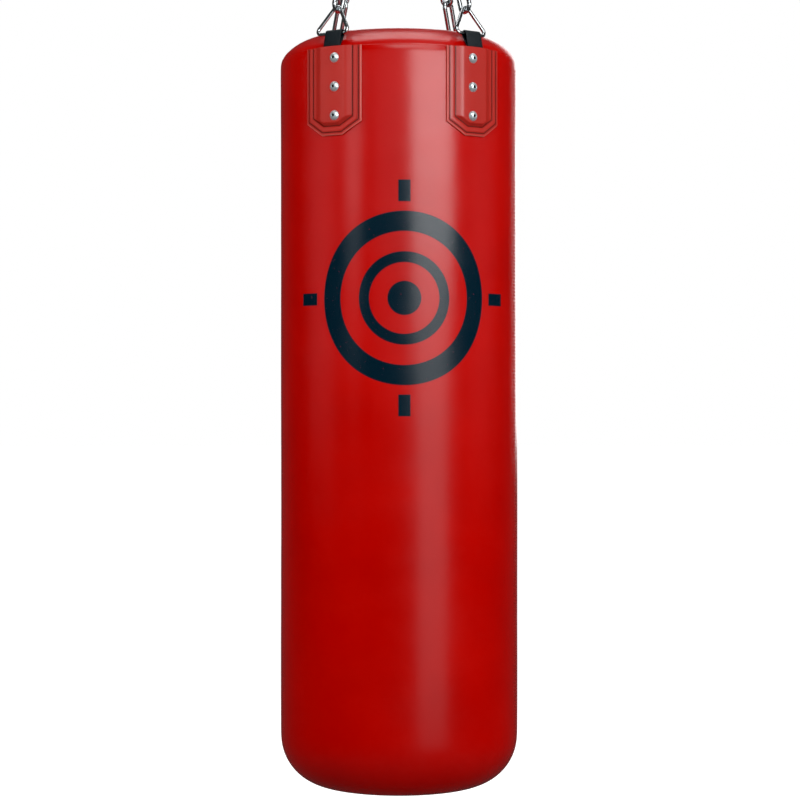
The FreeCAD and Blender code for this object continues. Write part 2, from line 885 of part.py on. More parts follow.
def hook_gate(name, leg):
    """A round bar with a slot at each end: the lower one straddles the hook's tongue on the pin, and the
    upper one takes in the nose. A blind hole above the pin holds the spring."""
    bar_length = size("gate_end_height") - pin_height
    foot = at(hook_bend, 0, pin_height, upright)
    bar = cylinder(f"{name}_bar", hook_wire, bar_length, foot)
    ear_placement = at(hook_bend, hook_wire, pin_height, across_turn)
    ears = cylinder(f"{name}_ears", hook_wire, 2 * hook_wire, ear_placement)
    blank = boolean("Fuse", f"{name}_blank", bar, ears)
    round_stock = cylinder(
        f"{name}_stock", hook_wire, bar_length + hook_wire, at(hook_bend, 0, pin_height - hook_wire)
    )
    turned = boolean("Common", f"{name}_turned", blank, round_stock)
    slot_side = hook_wire * 2 + size("tool_reach")
    ear_slot = block(
        f"{name}_ear_slot",
        slot_side,
        slot_width,
        hook_wire * 2 + ear_gap,
        at(hook_bend - slot_side / 2, -slot_width / 2, pin_height - hook_wire),
    )
    nose_slot_depth = size("gate_nose_length") - size("gate_end_gap") + size("nose_slot_play")
    nose_slot = block(
        f"{name}_nose_slot",
        slot_side,
        slot_width,
        nose_slot_depth + size("overlap"),
        at(hook_bend - slot_side / 2, -slot_width / 2, size("gate_end_height") - nose_slot_depth),
    )
    pin_hole = cylinder(
        f"{name}_pin_hole",
        size("gate_pin_radius") + size("shaft_clearance"),
        hook_wire * 4,
        at(hook_bend, hook_wire * 2, pin_height, across_turn),
    )
    spring_hole = cylinder(
        f"{name}_spring_hole",
        size("gate_spring_radius"),
        size("gate_spring_length"),
        at(hook_bend, 0, pin_height + hook_wire + ear_gap),
    )
    tools = doc.addObject("Part::MultiFuse", f"{name}_tools")
    tools.Shapes = [ear_slot, nose_slot, pin_hole, spring_hole]
    gate = boolean("Cut", name, turned, tools, leg.place(float(hook_foot), leg.outward))
    return keep(gate)


def gate_spring(name, leg):
    """The small spring in the gate's blind hole, which bears on the hook's tongue."""
    outer = cylinder(f"{name}_outer", size("gate_spring_radius"), size("gate_spring_length"), at())
    inner = cylinder(f"{name}_inner", size("gate_spring_radius") / 2, size("gate_spring_length"), at())
    spring = boolean("Cut", name, outer, inner)
    local = at(hook_bend, 0, pin_height + hook_wire + ear_gap)
    spring.Placement = leg.place(float(hook_foot), leg.outward) * local
    return keep(spring)


gate_pins = []
half_pin = hook_wire - size("tongue_inset")
for leg_name, leg in legs.items():
    snap_hook(f"snap_hook_{leg_name}", leg)
    hook_gate(f"hook_gate_{leg_name}", leg)
    gate_spring(f"gate_spring_{leg_name}", leg)
    pin_placement = leg.place(float(hook_foot), leg.outward) * at(
        hook_bend, half_pin, pin_height, across_turn
    )
    gate_pins.append(cylinder(f"gate_pin_{leg_name}", size("gate_pin_radius"), half_pin * 2, pin_placement))
keep(compound("gate_pins", gate_pins))

# ---------------------------------------------------------------- bag: outline shared by its layers

bag_place = at(up=seam_z)
leather = size("leather_thickness")
liner = size("liner_thickness")
bag_bottom = -size("bag_depth")
drop = size("shoulder_drop")
bottom_bend = size("bottom_corner_radius")
flat_bottom_radius = bag_radius - bottom_bend
disc_radius = size("bottom_disc_radius")

# The shoulder is two arcs that meet at 45 degrees: a tight one at the side and a wide one towards the top.
half_turn = math.sqrt(0.5)
shoulder_rise = size("top_rise") + drop
bend_growth = (size("shoulder_width") - shoulder_rise) / (math.sqrt(2.0) - 1.0)
side_bend = shoulder_rise - bend_growth * (1.0 - half_turn)
top_bend = side_bend + bend_growth
flat_top_radius = bag_radius - size("shoulder_width")


def seam_radius(inset):
    """The radius at the top seam of a layer that lies this far under the outer surface."""
    bend = side_bend - inset
    return bag_radius - side_bend + (bend * bend - drop * drop).root()


def shoulder_middle(inset):
    """The corner where the shoulder's two arcs meet."""
    bend = side_bend - inset
    return bag_radius - side_bend + bend * half_turn, bend * half_turn - drop


def rivet_heights():
    """The height of each rivet in a patch."""
    return [-(size("rivet_first_drop") + number * size("rivet_spacing")) for number in range(3)]


strap_azimuths = [leg.azimuth for leg in legs.values()]


def radial_holes(name, radius, inner, outer):
    """Cutters at every rivet, from one distance from the bag's axis to another."""
    cutters = []
    for side, azimuth in enumerate(strap_azimuths):
        for step, height in enumerate(rivet_heights()):
            local = at(0, -inner, height, Rotation(Vector(1, 0, 0), 90))
            place = Placement(Vector(), azimuth_rotation(azimuth)) * local
            cutters.append(cylinder(f"{name}_{side}_{step}", radius, outer - inner, place))
    return compound(name, cutters)


rivet_hole = size("rivet_shank_radius") + size("hole_play")

# ---------------------------------------------------------------- bag: leather panels and liner

side_blank = new_body("side_panel_blank")
revolve(
    side_blank,
    [
        (disc_radius, bag_bottom),
        (flat_bottom_radius, bag_bottom, bottom_bend, 1),
        (bag_radius, bag_bottom + bottom_bend),
        (bag_radius, -drop, side_bend, 1),
        (seam_radius(0.0), 0),
        (seam_radius(leather), 0, side_bend - leather, -1),
        (bag_radius - leather, -drop),
        (bag_radius - leather, bag_bottom + bottom_bend, bottom_bend - leather, -1),
        (flat_bottom_radius, bag_bottom + leather),
        (disc_radius, bag_bottom + leather),
    ],
)
side_holes = radial_holes("side_holes", rivet_hole, bag_radius - size("drill_reach"), bag_radius + size("tool_reach"))
keep(boolean("Cut", "side_panel", side_blank, side_holes, bag_place))

top_panel = keep(new_body("top_panel"))
revolve(
    top_panel,
    [
        (seam_radius(0.0), 0, side_bend, 1),
        (*shoulder_middle(0.0), top_bend, 1),
        (flat_top_radius, size("top_rise")),
        (0, size("top_rise")),
        (0, size("top_rise") - leather),
        (flat_top_radius, size("top_rise") - leather, top_bend - leather, -1),
        (*shoulder_middle(leather), side_bend - leather, -1),
        (seam_radius(leather), 0),
    ],
)
zip_half = size("zip_length") / 2
opening_half = size("zip_opening") / 2
zip_slot = new_sketch(top_panel, "XY_Plane", "zip_slot")
draw_outline(
    zip_slot,
    [
        (-zip_half, -opening_half),
        (zip_half, -opening_half),
        (zip_half, opening_half),
        (-zip_half, opening_half),
    ],
)
pocket_through(top_panel, zip_slot, "zip_pocket")
top_panel.Placement = bag_place

bottom_panel = cylinder("bottom_panel", disc_radius, leather, at(up=seam_z + float(bag_bottom)))
keep(bottom_panel)

liner_blank = new_body("liner_blank")
liner_outer = bag_radius - leather
liner_inner = liner_outer - liner
revolve(
    liner_blank,
    [
        (0, bag_bottom + leather),
        (flat_bottom_radius, bag_bottom + leather, bottom_bend - leather, 1),
        (liner_outer, bag_bottom + bottom_bend),
        (liner_outer, -drop),
        (liner_inner, -drop),
        (liner_inner, bag_bottom + bottom_bend, bottom_bend - leather - liner, -1),
        (flat_bottom_radius, bag_bottom + leather + liner),
        (0, bag_bottom + leather + liner),
    ],
)
liner_holes = radial_holes("liner_holes", rivet_hole, bag_radius - size("drill_reach"), bag_radius)
keep(boolean("Cut", "canvas_liner", liner_blank, liner_holes, bag_place))

# ---------------------------------------------------------------- bag: foam and fill

core_radius = liner_inner - size("foam_thickness")
foam_top = -size("foam_drop")
foam_bottom = bag_bottom + bottom_bend
foam_blank = new_body("foam_blank")
revolve(
    foam_blank,
    [
        (core_radius, foam_bottom),
        (liner_inner, foam_bottom),
        (liner_inner, foam_top),
        (core_radius, foam_top),
    ],
)
tail_depth = size("washer_thickness") + size("rivet_tail") + size("tail_play")
foam_pockets = radial_holes(
    "foam_pockets",
    size("washer_radius") + size("pocket_play"),
    liner_inner - tail_depth,
    liner_inner + size("overlap"),
)
keep(boolean("Cut", "foam_wrap", foam_blank, foam_pockets, bag_place))

pad_top = size("top_rise") - leather - size("pad_gap")
top_pad = keep(new_body("top_pad"))
revolve(
    top_pad,
    [
        (0, foam_top),
        (size("top_pad_radius"), foam_top),
        (size("top_pad_radius"), pad_top - size("top_pad_edge_drop")),
        (size("top_pad_radius") - size("top_pad_edge_inset"), pad_top),
        (0, pad_top),
    ],
)
top_pad.Placement = bag_place

pad_floor = bag_bottom + leather + liner
pad_level = float(pad_floor) + seam_z
bottom_pad = cylinder(
    "bottom_pad", flat_bottom_radius, size("bottom_pad_thickness"), at(up=pad_level)
)
keep(bottom_pad)

fill_core = keep(new_body("fill_core"))
revolve(
    fill_core,
    [
        (0, pad_floor + size("bottom_pad_thickness")),
        (flat_bottom_radius, pad_floor + size("bottom_pad_thickness")),
        (core_radius, foam_bottom),
        (core_radius, foam_top),
        (0, foam_top),
    ],
)
fill_core.Placement = bag_place

# ---------------------------------------------------------------- zip: tapes, teeth, slider and pull

tooth_edge = size("zip_half_gap") + size("tooth_width")
tape_level = size("top_rise") - leather - size("zip_tape_thickness")
tape_length = size("zip_length") + 2 * size("zip_tape_overhang")
tooth_level = tape_level + size("zip_tape_thickness") / 2 - size("tooth_height") / 2


def zip_tape(name, side):
    """A woven tape under one edge of the opening."""
    near = tooth_edge if side > 0 else -(tooth_edge + size("zip_tape_width"))
    tape = block(
        name,
        tape_length,
        size("zip_tape_width"),
        size("zip_tape_thickness"),
        at(-tape_length / 2, near, seam_z + float(tape_level)),
    )
    return keep(tape)


def zip_teeth(name, side):
    """A row of separate teeth along one tape, set half a pitch from the other row."""
    pitch = float(size("tooth_pitch"))
    total = int(float(size("zip_length")) / pitch) - 1
    near = float(size("zip_half_gap")) if side > 0 else -float(tooth_edge)
    teeth = []
    for number in range(total):
        start = (number - total / 2) * pitch + (pitch / 2 if side > 0 else 0.0)
        corner = Vector(start, near, float(tooth_level))
        tooth = Part.makeBox(
            float(size("tooth_length")),
            float(size("tooth_width")),
            float(size("tooth_height")),
            corner,
        )
        teeth.append(tooth)
    feature = doc.addObject("Part::Feature", name)
    feature.Shape = Part.makeCompound(teeth)
    feature.Placement = bag_place
    return keep(feature)


zip_tape("zip_tape_rear", 1)
zip_tape("zip_tape_front", -1)
zip_teeth("zip_teeth_rear", 1)
zip_teeth("zip_teeth_front", -1)

slider_x = -float(size("slider_start"))
plate_length = size("slider_length")
plate_width = size("slider_width")
plate = size("slider_plate")
slider_top = tooth_level + size("tooth_height") + size("slider_clearance")
slider_base = tooth_level - size("slider_clearance") - plate
neck_height = slider_top - slider_base
pull_axis = slider_top + plate + size("slider_clearance") + size("pull_bar_radius")
arch_under = pull_axis + size("pull_bar_radius") + size("slider_clearance")
bridge_wall = size("bridge_wall")
bridge_length = size("bridge_length")
bridge_width = size("bridge_width")


def centred_block(name, length, width, height, level, along=0.0):
    """A block centred across the slider, at its own level."""
    return block(name, length, width, height, at(float(along) - float(length) / 2, -width / 2, level))


slider_pieces = [
    centred_block("slider_upper", plate_length, plate_width, plate, slider_top),
    centred_block("slider_lower", plate_length, plate_width, plate, slider_base),
    centred_block("slider_neck", size("slider_neck_length"), size("slider_neck"), neck_height, slider_base),
    centred_block("bridge_roof", bridge_length, bridge_width, bridge_wall, arch_under),
]
post_height = arch_under + bridge_wall - slider_top - plate
for end, side in (("left", -1), ("right", 1)):
    post_place = side * (float(bridge_length) - float(bridge_wall)) / 2
    slider_pieces.append(
        centred_block(
            f"bridge_post_{end}", bridge_wall, bridge_width, post_height, slider_top + plate, post_place
        )
    )
slider = doc.addObject("Part::MultiFuse", "zip_slider")
slider.Shapes = slider_pieces
slider.Placement = at(slider_x, 0, seam_z)
keep(slider)

pull_width = size("pull_width")
arm_reach = bridge_length / 2 + size("pull_end_play")
arm_inner = bridge_width / 2 + size("pull_side_play")
arm_width = pull_width / 2 - arm_inner
pull_thickness = size("pull_thickness")
pull_bar = cylinder(
    "pull_bar",
    size("pull_bar_radius"),
    pull_width,
    at(0, pull_width / 2, 0, Rotation(Vector(1, 0, 0), 90)),
)
pull_pieces = [pull_bar]
for end, near in (("front", -(arm_inner + arm_width)), ("rear", arm_inner)):
    arm_place = at(0, near, -pull_thickness / 2)
    arm_length = arm_reach + size("overlap")
    pull_pieces.append(block(f"pull_arm_{end}", arm_length, arm_width, pull_thickness, arm_place))
tab_length = size("pull_length") - arm_reach
tab_place = at(arm_reach, -pull_width / 2, -pull_thickness / 2)
pull_pieces.append(block("pull_tab", tab_length, pull_width, pull_thickness, tab_place))
pull = doc.addObject("Part::MultiFuse", "zip_pull")
pull.Shapes = pull_pieces
pull.Placement = at(slider_x, 0, seam_z + float(pull_axis))
keep(pull)

# ---------------------------------------------------------------- straps, patches, rivets and washers

strap_inner = bag_radius + size("cloth_gap")
strap_outer = strap_inner + 2 * size("strap_thickness")
patch_inner = bag_radius + size("cloth_gap")
patch_outer = patch_inner + size("patch_thickness")
raised_outer = strap_outer + size("cloth_gap") + size("patch_thickness")


def touch(point, centre, radius, side):
    """Where the tangent from a point meets a circle, on the left (1) or the right (-1) of the way there."""
    span = centre - point
    swing = math.asin(radius / span.Length)
    reach = math.sqrt(span.Length**2 - radius**2)
    turn = math.atan2(span.y, span.x) + side * swing
    return point + Vector(math.cos(turn), math.sin(turn), 0) * reach


def loop_edges(low_out, low_in, centre, radius):
    """The edges that run from one low point over the base bar to the other."""
    touch_out = touch(low_out, centre, radius, -1)
    touch_in = touch(low_in, centre, radius, 1)
    crown = centre + Vector(0, radius, 0)
    return [
        Part.LineSegment(low_out, touch_out).toShape(),
        Part.Arc(touch_out, crown, touch_in).toShape(),
        Part.LineSegment(touch_in, low_in).toShape(),
    ]


def strap(name, azimuth):
    """Doubled webbing: its two layers part above the seam and close over the triangle ring's base bar."""
    centre = Vector(float(strap_bar_radius), float(size("strap_bar_height")), 0)
    loop_radius = float(size("ring_wire_radius") + size("loop_clearance"))
    foot = -float(size("strap_length"))
    low_in = Vector(float(strap_inner), 0, 0)
    low_out = Vector(float(strap_outer), 0, 0)
    foot_in = Vector(float(strap_inner), foot, 0)
    foot_out = Vector(float(strap_outer), foot, 0)
    split = Vector(float(strap_inner + size("strap_thickness")), float(size("strap_split_height")), 0)
    outside = loop_edges(low_out, low_in, centre, loop_radius + float(size("strap_thickness")))
    outside.append(Part.LineSegment(low_in, foot_in).toShape())
    outside.append(Part.LineSegment(foot_in, foot_out).toShape())
    outside.append(Part.LineSegment(foot_out, low_out).toShape())
    section = Part.Face(Part.Wire(Part.sortEdges(outside)[0]))
    opening = Part.Face(Part.Wire(Part.sortEdges(loop_edges(split, split, centre, loop_radius))[0]))
    width = float(size("strap_width"))
    drill_length = float(size("drill_reach") * 4)
    solid = section.cut(opening).extrude(Vector(0, 0, width))
    to_front = Rotation(Vector(0, -1, 0), Vector(0, 0, 1), Vector(-1, 0, 0), "XYZ")
    solid.Placement = Placement(Vector(width / 2, 0, 0), to_front)
    for height in rivet_heights():
        start = Vector(0, float(size("drill_reach") - bag_radius), float(height))
        drill = Part.makeCylinder(float(rivet_hole), drill_length, start, Vector(0, -1, 0))
        solid = solid.cut(drill)
    feature = doc.addObject("Part::Feature", name)
    feature.Shape = solid
    feature.Placement = Placement(Vector(0, 0, seam_z), azimuth_rotation(azimuth)) * solid.Placement
    return keep(feature)


def tab_outline(name, width, height, across, up, depth):
    """A prism, standing out towards -Y, with its top edge at the seam and its lower corners cut off."""
    sketch = doc.addObject("Sketcher::SketchObject", f"{name}_sketch")
    sketch.Placement = Placement(Vector(), Rotation(Vector(1, 0, 0), 90))
    half = width / 2
    draw_outline(
        sketch,
        [
            (-half, 0),
            (-half, -(height - up)),
            (-(half - across), -height),
            (half - across, -height),
            (half, -(height - up)),
            (half, 0),
        ],
    )
    prism = doc.addObject("Part::Extrusion", name)
    prism.Base = sketch
    prism.DirMode = "Custom"
    prism.Dir = Vector(0, -1, 0)
    prism.Solid = True
    bind(prism, LengthFwd=depth)
    return prism


def shell(name, inner, outer):
    """A tube around the bag's axis that the patch is cut from."""
    height = size("patch_height") + 2 * size("overlap")
    place = at(up=-height + size("overlap"))
    outside = cylinder(f"{name}_outside", outer, height, place)
    inside = cylinder(f"{name}_inside", inner, height, place)
    return boolean("Cut", name, outside, inside)


def strap_patch(name, azimuth):
    """A leather patch: a flat border that is sewn to the bag, and a raised middle over the strap."""
    depth = raised_outer + size("tool_reach")
    border = boolean(
        "Common",
        f"{name}_border",
        shell(f"{name}_border_shell", patch_inner, patch_outer),
        tab_outline(
            f"{name}_border_tab",
            size("patch_width"),
            size("patch_height"),
            size("patch_corner_across"),
            size("patch_corner_up"),
            depth,
        ),
    )
    raised = boolean(
        "Common",
        f"{name}_raised",
        shell(f"{name}_raised_shell", patch_inner, raised_outer),
        tab_outline(
            f"{name}_raised_tab",
            size("patch_raised_width"),
            size("patch_raised_height"),
            size("patch_raised_corner"),
            size("patch_raised_corner"),
            depth,
        ),
    )
    blank = boolean("Fuse", f"{name}_blank", border, raised)
    channel_width = size("strap_width") + 2 * size("cloth_gap")
    channel_depth = strap_outer + size("cloth_gap") - bag_radius + 4 * size("drill_reach")
    channel_height = size("strap_length") + size("cloth_gap") + size("tool_reach")
    channel = block(
        f"{name}_channel",
        channel_width,
        channel_depth,
        channel_height,
        at(-channel_width / 2, -(strap_outer + size("cloth_gap")), size("tool_reach") - channel_height),
    )
    tools = [channel]
    for step, height in enumerate(rivet_heights()):
        place = at(0, -(bag_radius - size("drill_reach")), height, Rotation(Vector(1, 0, 0), 90))
        tools.append(cylinder(f"{name}_hole_{step}", rivet_hole, size("patch_height") / 4, place))
    cutter = doc.addObject("Part::MultiFuse", f"{name}_cutter")
    cutter.Shapes = tools
    patch = boolean("Cut", name, blank, cutter)
    patch.Placement = Placement(Vector(0, 0, seam_z), azimuth_rotation(azimuth))
    return keep(patch)


for leg_name, leg in legs.items():
    strap(f"strap_{leg_name}", leg.azimuth)
    strap_patch(f"strap_patch_{leg_name}", leg.azimuth)

# The rivet's pattern stands on Z with the underside of its head at zero.
washer_outer_face = liner_inner - size("cloth_gap")
rivet_grip = raised_outer - (washer_outer_face - size("washer_thickness"))
head_radius = size("rivet_head_radius")
head_height = size("rivet_head_height")
head_bend = (head_radius * head_radius + head_height * head_height) / (2 * head_height)
dimple_radius = size("rivet_dimple_radius")
dimple_edge = head_height - head_bend + (head_bend * head_bend - dimple_radius * dimple_radius).root()
DIMPLE_FLOOR_RATIO = 0.7
rivet_pattern = new_body("rivet_pattern")
revolve(
    rivet_pattern,
    [
        (0, -(rivet_grip + size("rivet_tail"))),
        (size("rivet_tail_radius"), -(rivet_grip + size("rivet_tail"))),
        (size("rivet_tail_radius"), -rivet_grip),
        (size("rivet_shank_radius"), -rivet_grip),
        (size("rivet_shank_radius"), 0),
        (head_radius, 0, head_bend, 1),
        (dimple_radius, dimple_edge),
        (dimple_radius * DIMPLE_FLOOR_RATIO, dimple_edge - size("rivet_dimple_depth")),
        (0, dimple_edge - size("rivet_dimple_depth")),
    ],
)
washer_bore = size("rivet_shank_radius") + size("washer_play")
washer_pattern = new_body("washer_pattern")
revolve(
    washer_pattern,
    [
        (washer_bore, 0),
        (size("washer_radius"), 0),
        (size("washer_radius"), size("washer_thickness")),
        (washer_bore, size("washer_thickness")),
    ],
)
doc.recompute()


def set_of_twelve(name, pattern, distance):
    """Copies of a turned pattern at every rivet, its Z pointing away from the bag's axis."""
    copies = []
    for azimuth in strap_azimuths:
        for height in rivet_heights():
            local = at(0, -distance, height, Rotation(Vector(1, 0, 0), 90))
            copy = pattern.Shape.copy()
            copy.Placement = Placement(Vector(), azimuth_rotation(azimuth)) * local
            copies.append(copy)
    feature = doc.addObject("Part::Feature", name)
    feature.Shape = Part.makeCompound(copies)
    feature.Placement = bag_place
    return keep(feature)


set_of_twelve("strap_rivets", rivet_pattern, raised_outer)
set_of_twelve("rivet_washers", washer_pattern, washer_outer_face - size("washer_thickness"))

# ---------------------------------------------------------------- checks and STEP files

doc.recompute()
for feature in doc.Objects:
    if "Invalid" in feature.State or "Error" in feature.State:
        raise RuntimeError(f"{feature.Label} is {feature.State}: {feature.getStatusString()}")
for feature in subparts:
    shape = feature.Shape
    if shape.isNull() or not shape.isValid() or not shape.Solids:
        raise RuntimeError(f"{feature.Label} has no valid solid")

os.makedirs("parts", exist_ok=True)
for feature in subparts:
    feature.Shape.exportStep(f"parts/{feature.Label}.step")
print(f"{len(subparts)} sub-parts, top seam at z {seam_z:.2f}, longest leg {longest_leg:.2f}")
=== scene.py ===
import math

import bmesh
import bpy
from mathutils import Matrix, Vector, noise


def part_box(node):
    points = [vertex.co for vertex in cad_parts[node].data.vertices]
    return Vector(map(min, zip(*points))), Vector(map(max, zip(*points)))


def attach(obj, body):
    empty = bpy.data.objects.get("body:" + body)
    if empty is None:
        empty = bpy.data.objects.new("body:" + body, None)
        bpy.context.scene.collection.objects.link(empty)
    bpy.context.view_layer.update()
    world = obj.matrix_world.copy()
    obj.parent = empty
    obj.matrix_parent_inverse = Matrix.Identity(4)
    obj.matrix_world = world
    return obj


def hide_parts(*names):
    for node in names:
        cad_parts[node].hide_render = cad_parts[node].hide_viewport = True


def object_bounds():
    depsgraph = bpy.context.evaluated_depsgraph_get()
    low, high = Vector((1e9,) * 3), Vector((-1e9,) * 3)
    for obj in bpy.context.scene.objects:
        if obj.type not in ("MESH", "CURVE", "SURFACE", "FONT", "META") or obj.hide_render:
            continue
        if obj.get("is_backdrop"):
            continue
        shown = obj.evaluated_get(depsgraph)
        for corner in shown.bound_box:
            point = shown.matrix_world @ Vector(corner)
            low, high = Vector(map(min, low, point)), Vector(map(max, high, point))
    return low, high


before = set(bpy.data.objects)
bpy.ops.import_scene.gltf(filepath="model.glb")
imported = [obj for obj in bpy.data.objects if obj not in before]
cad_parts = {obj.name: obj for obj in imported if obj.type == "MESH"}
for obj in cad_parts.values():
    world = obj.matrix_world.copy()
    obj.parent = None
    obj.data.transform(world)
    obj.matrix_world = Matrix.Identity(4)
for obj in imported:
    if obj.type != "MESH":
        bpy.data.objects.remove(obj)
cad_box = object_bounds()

# A hanging heavy bag: red coated leather over foam and packed textile, four riveted webbing straps,
# triangle rings, snap hooks, a four-leg chain bridle and a ball-bearing swivel. Metres, +Z up, front -Y.

# ---------------------------------------------------------------- camera, floor and light
# A level camera at about half the bag's height, a little left of its printed front, over a plain pale
# floor. Wide softboxes make the highlights, the strongest high on the right, and fills that glossy
# surfaces don't mirror light the red evenly from the front and both sides.
side_low, side_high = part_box("side_panel")
SEAM_Z = side_high.z
BAG_RADIUS = (side_high.x - side_low.x) / 2
BAG_BOTTOM = side_low.z
CAMERA_DISTANCE = 3.09
CAMERA_AZIMUTH = math.radians(-2.5)
CAMERA_BELOW_SEAM = 0.457
LENS = 102.8
SENSOR = 36.0
AXIS_SHIFT = 1 / 800
BLACK_LEVEL = 0.005

scene = bpy.context.scene
scene.view_settings.view_transform = "Standard"
scene.view_settings.look = "None"
scene.view_settings.use_curve_mapping = True
scene.view_settings.curve_mapping.black_level = (BLACK_LEVEL, BLACK_LEVEL, BLACK_LEVEL)
scene.view_settings.curve_mapping.update()
camera_data = bpy.data.cameras.new("camera")
camera_data.lens = LENS
camera_data.sensor_width = SENSOR
camera_data.shift_x = AXIS_SHIFT
camera_data.clip_end = 100.0
camera = bpy.data.objects.new("camera", camera_data)
camera.location = (
    CAMERA_DISTANCE * math.sin(CAMERA_AZIMUTH),
    -CAMERA_DISTANCE * math.cos(CAMERA_AZIMUTH),
    SEAM_Z - CAMERA_BELOW_SEAM,
)
camera.rotation_euler = (math.pi / 2, 0, CAMERA_AZIMUTH)
scene.collection.objects.link(camera)
scene.camera = camera


def new_piece(name, bm, smooth=True):
    """Turns a bmesh into an object at the origin."""
    mesh = bpy.data.meshes.new(name)
    bm.to_mesh(mesh)
    bm.free()
    mesh.polygons.foreach_set("use_smooth", [smooth] * len(mesh.polygons))
    piece = bpy.data.objects.new(name, mesh)
    scene.collection.objects.link(piece)
    return piece


def new_material(name):
    """A material, its node tree and its Principled shader."""
    material = bpy.data.materials.new(name)
    material.use_nodes = True
    return material, material.node_tree, material.node_tree.nodes["Principled BSDF"]


def node(tree, kind, inputs=None, **settings):
    """Adds a node, sets its properties, and sets or links its inputs."""
    added = tree.nodes.new(kind)
    for key, value in settings.items():
        setattr(added, key, value)
    for key, value in (inputs or {}).items():
        if isinstance(value, bpy.types.NodeSocket):
            tree.links.new(value, added.inputs[key])
        else:
            added.inputs[key].default_value = value
    return added


def math_node(tree, operation, first, second=0.0, third=0.0):
    """A Math node's output."""
    return node(tree, "ShaderNodeMath", {0: first, 1: second, 2: third}, operation=operation).outputs[0]


def object_place(tree):
    """The Object coordinates' output."""
    return node(tree, "ShaderNodeTexCoord").outputs["Object"]


def cloudy(tree, place, scale, detail, roughness=0.5):
    """A Noise texture's value."""
    inputs = {"Vector": place, "Scale": scale, "Detail": detail, "Roughness": roughness}
    return node(tree, "ShaderNodeTexNoise", inputs).outputs["Fac"]


def blend(tree, factor, first, second):
    """A Mix node's colour."""
    return node(tree, "ShaderNodeMix", {"Factor": factor, 6: first, 7: second}, data_type="RGBA").outputs[2]


def ranged(tree, value, from_low, from_high, to_low, to_high):
    """A Map Range node's output, held inside its limits."""
    limits = {"From Min": from_low, "From Max": from_high, "To Min": to_low, "To Max": to_high}
    return node(tree, "ShaderNodeMapRange", {"Value": value, **limits}).outputs[0]


def bumped(tree, shader, strength, distance, height):
    """Gives a shader a bump."""
    bump = node(tree, "ShaderNodeBump", {"Strength": strength, "Distance": distance, "Height": height})
    tree.links.new(bump.outputs[0], shader.inputs["Normal"])


FLOOR_RADIUS = 40.0
FLOOR_DROP = 0.35
FLOOR_GLOW = 1.0
bm = bmesh.new()
bmesh.ops.create_circle(bm, cap_ends=True, segments=96, radius=FLOOR_RADIUS)
bmesh.ops.translate(bm, verts=bm.verts, vec=(0, 0, BAG_BOTTOM - FLOOR_DROP))
floor = new_piece("floor", bm, smooth=False)
floor_material, floor_tree, floor_shader = new_material("pale_floor")
floor_clouds = cloudy(floor_tree, object_place(floor_tree), 1.5, 3.0)
floor_ramp = node(floor_tree, "ShaderNodeValToRGB", {"Fac": floor_clouds})
floor_ramp.color_ramp.elements[0].color = (0.34, 0.34, 0.34, 1)
floor_ramp.color_ramp.elements[1].color = (0.38, 0.38, 0.38, 1)
floor_tree.links.new(floor_ramp.outputs["Color"], floor_shader.inputs["Base Color"])
floor_shader.inputs["Roughness"].default_value = 0.9
floor_shader.inputs["Specular IOR Level"].default_value = 0.1
floor_shader.inputs["Emission Color"].default_value = (1, 1, 1, 1)
floor_seen = node(floor_tree, "ShaderNodeLightPath").outputs["Is Camera Ray"]
floor_glow = math_node(floor_tree, "MULTIPLY", floor_seen, FLOOR_GLOW)
floor_tree.links.new(floor_glow, floor_shader.inputs["Emission Strength"])
floor.data.materials.append(floor_material)
floor.visible_glossy = False
floor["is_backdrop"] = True

ROOM_GLOW = 0.05
world = bpy.data.worlds.new("studio")
scene.world = world
world.use_nodes = True
world_tree = world.node_tree
background = world_tree.nodes["Background"]
seen_background = node(world_tree, "ShaderNodeBackground", {"Color": (1, 1, 1, 1), "Strength": 1.0})
background.inputs["Color"].default_value = (1, 1, 1, 1)
background.inputs["Strength"].default_value = ROOM_GLOW
world_mix = node(
    world_tree,
    "ShaderNodeMixShader",
    {
        0: node(world_tree, "ShaderNodeLightPath").outputs["Is Camera Ray"],
        1: background.outputs[0],
        2: seen_background.outputs[0],
    },
)
world_tree.links.new(world_mix.outputs[0], world_tree.nodes["World Output"].inputs["Surface"])


def softbox(name, azimuth, distance, height, width, tall, power, aim_height, mirrored=True):
    """A rectangular light aimed at the bag's axis. One that isn't mirrored never shows in glossy surfaces."""
    light = bpy.data.lights.new(name, "AREA")
    light.shape = "RECTANGLE"
    light.size = width
    light.size_y = tall
    light.energy = power
    lamp = bpy.data.objects.new(name, light)
    turn = math.radians(azimuth)
    lamp.location = (distance * math.sin(turn), -distance * math.cos(turn), height)
    aim = Vector((0, 0, aim_height)) - lamp.location
    lamp.rotation_euler = aim.to_track_quat("-Z", "Y").to_euler()
    lamp.visible_glossy = mirrored
    lamp.visible_camera = False
    scene.collection.objects.link(lamp)


